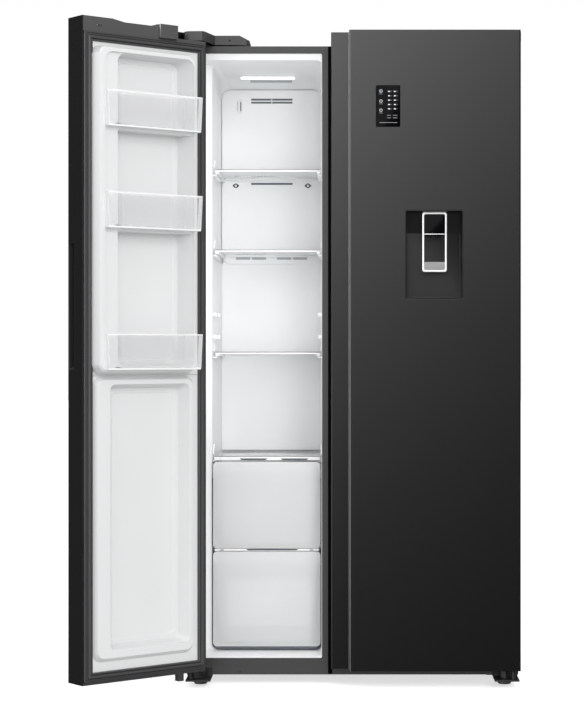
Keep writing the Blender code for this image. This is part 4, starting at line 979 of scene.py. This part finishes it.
def dispenser():
    """Gloss black recess with a sloped roof and sill, a nozzle block, a chrome lever frame with a faint
    painted glow, and its pale lip."""
    x0, x1, y0, y1, z0, z1 = span("dispenser_housing")
    wall = 0.002
    cave = [
        (x0 + wall, x1 - wall, z0 + wall, z1 - wall, 0.004, y0),
        (x0 + 0.0032, x1 - 0.0040, z0 + 0.0025, z1 - 0.0035, 0.004, y0 + 0.004),
        (x0 + 0.0036, x1 - 0.0052, z0 + 0.0030, z1 - 0.0042, 0.004, y0 + 0.0200),
        (x0 + 0.0045, x1 - 0.0065, z0 + 0.0035, z1 - 0.060, 0.004, y1 - wall),
    ]
    add("dispenser_cave", tub("y", cave, wall), SOFT_BLACK, "fridge_door", ["dispenser_housing"],
        bevel=0.0008)
    lap, sunk = 0.0008, y0 + 0.0010
    edge = hoop("y", (x0 - lap, x1 + lap, z0 - lap, z1 + lap),
                [(0, sunk), (0, y0 - PROUD), (0.0028, y0 - PROUD), (0.0034, sunk)], 0.0045, 6)
    add("dispenser_bezel", edge, GLOSSY_DARK, "fridge_door")
    px0, px1, py0, py1, pz0, pz1 = span("dispenser_paddle")
    side = 0.0058
    under = z1 - 0.0676
    nozzle = slab("y", px0 + side, px1 - side, under, pz1 - side, 0.007, y0 + 0.0078, y1 - wall, 0.0015)
    add("dispenser_nozzle_block", nozzle, GLOSS, "fridge_door")
    centre = ((px0 + px1) / 2, y0 + 0.0228)
    spout = loft("z", [(circle(*centre, 0.0075), under - 0.0060),
                       (circle(*centre, 0.0090), under + 0.0010)])
    add("dispenser_spout", spout, SOFT_BLACK, "fridge_door")
    # The bright bar across the nozzle block glows faintly: painted light.
    low, front = under + 0.0022, y0 + 0.0060
    bar = slab("y", px0 + 0.0030, px1 - 0.0030, low, low + 0.0018, 0.0006, front, front + 0.0022, 0.0003)
    add("dispenser_nozzle_line", bar, GLOWING_TRIM, "fridge_door")
    tray = slab("z", x0 + 0.020, x1 - 0.020, 0.006, y1 - 0.006, 0.004, z0 + 0.0030, z0 + 0.0046, 0.0005)
    add("dispenser_drip_tray", tray, GLOSSY_DARK, "fridge_door")
    ribs, rib_pitch, rib_wide = 9, 0.0124, 0.0050
    for k in range(ribs):
        a = x0 + 0.026 + rib_pitch * k
        bar = slab("z", a, a + rib_wide, 0.009, y1 - 0.009, 0.001, z0 + 0.0045, z0 + 0.0054, 0.0003)
        add(f"dispenser_tray_rib_{k}", bar, DARK_PLASTIC, "fridge_door")
    middle = (py0 + py1) / 2
    face, shoulder, back = middle - 0.0028, middle - 0.0020, middle + 0.0024
    wide, ease = 0.0048, 0.0008
    profile = [(0, shoulder), (ease, face), (wide - ease, face), (wide, shoulder), (wide, back), (0, back)]
    # The lever frame's bright plate glows faintly: painted light.
    lever = hoop("y", (px0, px1, pz0, pz1), profile, 0.006, 8)
    add("dispenser_lever_frame", lever, GLOWING_TRIM, "dispenser_paddle", ["dispenser_paddle"], crease=60)
    a, b = px0 + 0.0044, px1 - 0.0044
    lip = slab("y", a, b, pz0 + 0.0030, pz0 + 0.0270, 0.002, middle - 0.0018, middle + 0.0020, 0.0008)
    add("dispenser_lever_lip", lip, PALE_LIP, "dispenser_paddle")


def fridge_door_liner():
    """One deep recess inside a ridge, and the foam behind it with room for the dispenser and the
    display."""
    x0, x1, _, _, z0, z1 = span("fridge_door_liner")
    base = span("fridge_door_gasket")[2] - 0.0003
    ridge, deep, inset = 0.1170, 0.0622, 0.004
    sheet_box = (x0, x1, z0, z1)
    outer, well = inset_box(sheet_box, 0.0410, 0.0460, 0.0490, 0.0340), inset_box(sheet_box, 0.0528, 0.0568,
                                                                                  0.0790, 0.0570)
    sheet = moulded_sheet([
        (x0 + inset, x1 - inset, z0 + inset, z1 - inset, 0.002, base), (*outer, 0.026, base),
        (*grown(outer, -0.0030), 0.024, ridge - 0.004), (*grown(outer, -0.0055), 0.022, ridge),
        (*grown(well, 0.0016), 0.020, ridge), (*well, 0.019, deep + 0.004),
        (*grown(well, -0.006), 0.014, deep),
    ])
    add("fridge_door_liner_skin", sheet, DOOR_WHITE, "fridge_door", ["fridge_door_liner"], bevel=0.0014)
    clear_of_band = span("fridge_door_grip_band")[1] + 0.001
    core = block(clear_of_band, x1 - 0.001, 0.0022, deep - SHEET - 0.0010, z0 + 0.001, z1 - 0.001)
    made = add("fridge_door_foam_core", core, FOAM, "fridge_door", ["fridge_door_foam"])
    room = bmesh.new()
    for node in ("dispenser_housing", "display_panel"):
        a0, a1, near, far, b0, b1 = span(node)
        block(a0 - 0.001, a1 + 0.001, near - 0.010, far + 0.001, b0 - 0.001, b1 + 0.001, room)
    pierce(made, room, "fridge_door")


def water_tank():
    """Flat clear tank with a lid, a round filler cap and two finger grips."""
    x0, x1, y0, y1, z0, z1 = span("water_tank")
    lid = 0.012
    wall = 0.0024
    inside = [
        (x0 + wall, x1 - wall, y0 + wall, y1 - wall, 0.012, z1 - lid),
        (x0 + wall + 0.006, x1 - wall - 0.006, y0 + wall + 0.002, y1 - wall - 0.004, 0.012,
         z0 + wall + 0.008),
        (x0 + wall + 0.014, x1 - wall - 0.014, y0 + wall + 0.008, y1 - wall - 0.010, 0.010, z0 + wall),
    ]
    add("water_tank_body", tub("z", inside, wall, 8), WATER_CLEAR, "fridge_door", ["water_tank"],
        bevel=0.001)
    cover = slab("z", x0, x1, y0, y1, 0.012, z1 - lid, z1 - 0.004, 0.002)
    add("water_tank_lid", cover, TRIM_WHITE, "fridge_door")
    middle_x, middle_y = (x0 + x1) / 2, (y0 + y1) / 2
    cap = loft("z", [
        (circle(middle_x, middle_y, 0.022), z1 - 0.0045), (circle(middle_x, middle_y, 0.022), z1 - 0.0010),
        (circle(middle_x, middle_y, 0.0205), z1),
    ])
    add("water_tank_cap", cap, WHITE, "fridge_door")
    for side, a in (("left", x0 + 0.030), ("right", x1 - 0.070)):
        grip = slab("z", a, a + 0.040, middle_y - 0.008, middle_y + 0.008, 0.004, z1 - 0.0045, z1 - 0.0015,
                    0.001)
        add(f"water_tank_grip_{side}", grip, TRIM_WHITE, "fridge_door")


display()
dispenser()
gasket("fridge_door_gasket")
fridge_door_liner()
door_bin("fridge_bin")
water_tank()


# ---------------------------------------------------------------- fridge compartment
def fridge_liner():
    rings = cavity(mouth_of("fridge_liner"), [
        (0.0000, 0.0000, 0.0000, 0.0000, 0.003, 0.0000), (0.0004, 0.0004, 0.0010, 0.0090, 0.012, 0.0030),
        (0.0006, 0.0006, 0.0078, 0.0094, 0.014, 0.0409), (0.0052, 0.0052, 0.0088, 0.0096, 0.020, 0.0709),
        (0.0060, 0.0060, 0.0098, 0.0098, 0.024, 0.3400), (0.0064, 0.0064, 0.0104, 0.0200, 0.028, 0.4109),
        (0.0066, 0.0066, 0.2478, 0.0202, 0.026, 0.4111), (0.0085, 0.0085, 0.2528, 0.0300, 0.022, 0.4959),
    ])
    add("fridge_liner_skin", tub("y", rings, LINER_WALL, 10), WHITE, "cabinet", ["fridge_liner"],
        bevel=0.0014)


def fridge_back():
    """Air duct with rows of short slots down both edges, shelf ledges on the walls, and the ceiling
    lamp."""
    x0, x1, y0, y1, z0, z1 = span("fridge_duct_cover")
    cover = slab("y", x0, x1, z0, z1, 0.020, y0, y1, 0.002)
    made = add("fridge_duct_skin", cover, WHITE, "cabinet", ["fridge_duct_cover"])
    holes = bmesh.new()
    rows, end_gap, slot_pitch = 5, 0.15, 0.009
    pitch = (z1 - z0 - 2 * end_gap) / (rows - 1)
    for k in range(rows):
        z = z0 + end_gap + pitch * k
        for side, a in (("left", x0 + 0.016), ("right", x1 - 0.056)):
            for n in range(3):
                low = z + slot_pitch * n
                prism("y", rounded(a, a + 0.040, low, low + 0.004, 0.0015, 3), y0 - 0.01, y1 + 0.01, holes)
            shade = slab("y", a - 0.003, a + 0.043, z - 0.003, z + 0.025, 0.002, y1 - 0.0012, y1 - 0.0002,
                         0.0003)
            add(f"fridge_slot_shadow_{k}_{side}", shade, RECESS, "cabinet")
    pierce(made, holes, "cabinet")
    for side, x in (("left", x0 + 0.001), ("right", x1 - 0.004)):
        fold = slab("y", x, x + 0.003, z0 + 0.02, z1 - 0.02, 0.001, y0 - 0.0020, y0 + 0.0005, 0.0008)
        add(f"fridge_duct_fold_{side}", fold, TRIM_WHITE, "cabinet")
    for node in ("fridge_shelf_upper", "fridge_shelf_lower", "crisper_cover"):
        a0, a1, b0, b1, low, _ = span(node)
        for side, wall, sign in (("left", a0 - 0.0012, 1), ("right", a1 + 0.0012, -1)):
            reach = sorted((wall, wall + sign * 0.0100))
            ledge = slab("x", b0 + 0.010, b1 - 0.010, low - 0.0095, low - 0.0006, 0.003, *reach, 0.001)
            add(f"{node}.ledge_{side}", ledge, TRIM_WHITE, "cabinet")
    a0, a1, b0, b1, low, top = span("fridge_lamp")
    add("fridge_lamp_bar", slab("z", a0, a1, b0, b1, 0.0085, low, top, edge=0.003), LIT, "cabinet",
        ["fridge_lamp"])


fridge_liner()
fridge_back()
for node in ("fridge_shelf_upper", "fridge_shelf_lower", "crisper_cover"):
    glass_shelf(node)
drawer("crisper_drawer", 0.5350)


# ---------------------------------------------------------------- gap shadows, hinges, back and underside
def seams():
    """A painted shadow strip in the gap beside the middle post, the bottom sheet, and a black disc of painted
    shade for a screw hole on the frame.
    """
    y0, y1, z0, z1 = span("front_frame")[2:]
    band = span("fridge_door_grip_band")
    # The near-black strip in the gap beside the grip band is painted shadow.
    gap = slab("y", band[0] - 0.0086, band[0] + 0.0030, z0 + 0.002, z1 - 0.001, 0.001, y0 - 0.0010,
               y0 - 0.0003, 0.0003)
    add("post_gap_shadow", gap, BLACK_SHADE_PAINT, "cabinet")
    shell = span("cabinet_shell")
    bottom = slab("z", shell[0] + 0.003, shell[1] - 0.003, y1 + 0.001, 0.5200, 0.004, z0 + 0.0016,
                  z0 + 0.0044, 0.0006)
    add("bottom_sheet", bottom, ZINC, "cabinet")
    # The screw hole is a black disc: painted shade.
    centre = (-0.308, z0 + 0.0080)
    hole = loft("y", [(circle(*centre, 0.0022), y0 - 0.0003), (circle(*centre, 0.0016), y0 - 0.0009)])
    add("frame_screw_hole_shadow", hole, SOFT_BLACK, "cabinet")


def door_edge_highlight():
    """A painted highlight: a fine bright steel strip where the fridge door's face folds back beside the grip band.
    """
    x0, _, y0, _, z0, z1 = span("fridge_door_skin")
    # This thin steel strip is a painted highlight on the folded edge.
    line = slab("y", x0 - 0.0009, x0 + 0.0001, z0 + 0.002, z1 - 0.002, 0.0004, y0 + 0.0004, y0 + 0.0016,
                0.0003)
    add("door_edge_highlight", line, STEEL, "fridge_door")


def screw(name, axis, a, b, face, out, radius, body, surface=ZINC):
    """A flat-headed screw with a cross socket; face is where the head sits and out is +1 or -1 along
    the axis."""
    head = loft(axis, [
        (circle(a, b, radius, 20), face), (circle(a, b, radius, 20), face + out * 0.0008),
        (circle(a, b, radius * 0.72, 20), face + out * 0.0014),
    ])
    add(name, head, surface, body)
    # The cross socket is a black cross on the head: painted shade in the socket.
    for turn, (wide, high) in (("flat", (0.55, 0.14)), ("tall", (0.14, 0.55))):
        low, high_at = sorted((face + out * 0.0010, face + out * 0.0016))
        cross = slab(axis, a - wide * radius, a + wide * radius, b - high * radius, b + high * radius,
                     0.0001, low, high_at, 0.0001)
        add(f"{name}_socket_shade_{turn}", cross, SOFT_BLACK, body)


def back():
    """Pressed panels and screws on the back sheet, and the screws of the machine cover."""
    x0, x1, _, y1, z0, z1 = span("back_panel")
    panels, border, gap, screws = 3, 0.05, 0.015, 6
    tall = (z1 - z0 - 2 * border) / panels
    sunk, shoulder, crown = y1 - 0.0005, y1 + 0.0016, y1 + 0.0022
    press = [(0, sunk), (0.003, shoulder), (0.006, crown), (0.010, crown), (0.013, shoulder), (0.016, sunk)]
    for k in range(panels):
        low = z0 + border + tall * k
        box = (x0 + 0.060, x1 - 0.060, low + gap, low + tall - gap)
        add(f"back_pressing_{k}", hoop("y", box, press, 0.030, 8), ZINC, "cabinet")
    for side, x in (("left", x0 + 0.012), ("right", x1 - 0.012)):
        for k in range(screws):
            z = z0 + 0.03 + (z1 - z0 - 0.06) * k / (screws - 1)
            screw(f"back_screw_{side}_{k}", "y", x, z, y1 - 0.0002, 1, 0.0042, "cabinet")
    x0, x1, _, y1, z0, z1 = span("machine_cover")
    for side, x in (("left", x0 + 0.014), ("middle", 0.0), ("right", x1 - 0.014)):
        for word, z in (("low", z0 + 0.012), ("high", z1 - 0.012)):
            if side != "middle" or word == "high":
                screw(f"machine_screw_{side}_{word}", "y", x, z, y1 - 0.0016, 1, 0.0042, "cabinet")


def front_of(node, x, z):
    """How deep the front of a CAD node lies at x and z."""
    start = CABINET @ Vector((x, -1.0, z))
    found, where = frame["nodes"][node].ray_cast(start, Vector((0, 1, 0)))[:2]
    return (CABINET.inverted() @ where).y if found else span(node)[2]


def hinge_tops():
    """A peg hole in the front of each hinge cover, drawn as a black disc of painted shade, and the screw on its
    top.
    """
    for side, sign in (("left", -1), ("right", 1)):
        top = span(f"hinge_cover_{side}")[5]
        x, z = sign * 0.3364, top - 0.0135
        y = front_of(f"hinge_cover_{side}", x, z)
        # The peg hole is a black disc: painted shade.
        hole = loft("y", [(circle(x, z, 0.0024, 20), y + 0.0006), (circle(x, z, 0.0024, 20), y - 0.0002)])
        add(f"hinge_cover_hole_shadow_{side}", hole, BLACK_SHADE_PAINT, "cabinet")
        screw(f"hinge_cover_screw_{side}", "z", sign * 0.330, 0.150, top - 0.0012, 1, 0.0040, "cabinet",
              STEEL)


seams()
door_edge_highlight()
back()
hinge_tops()
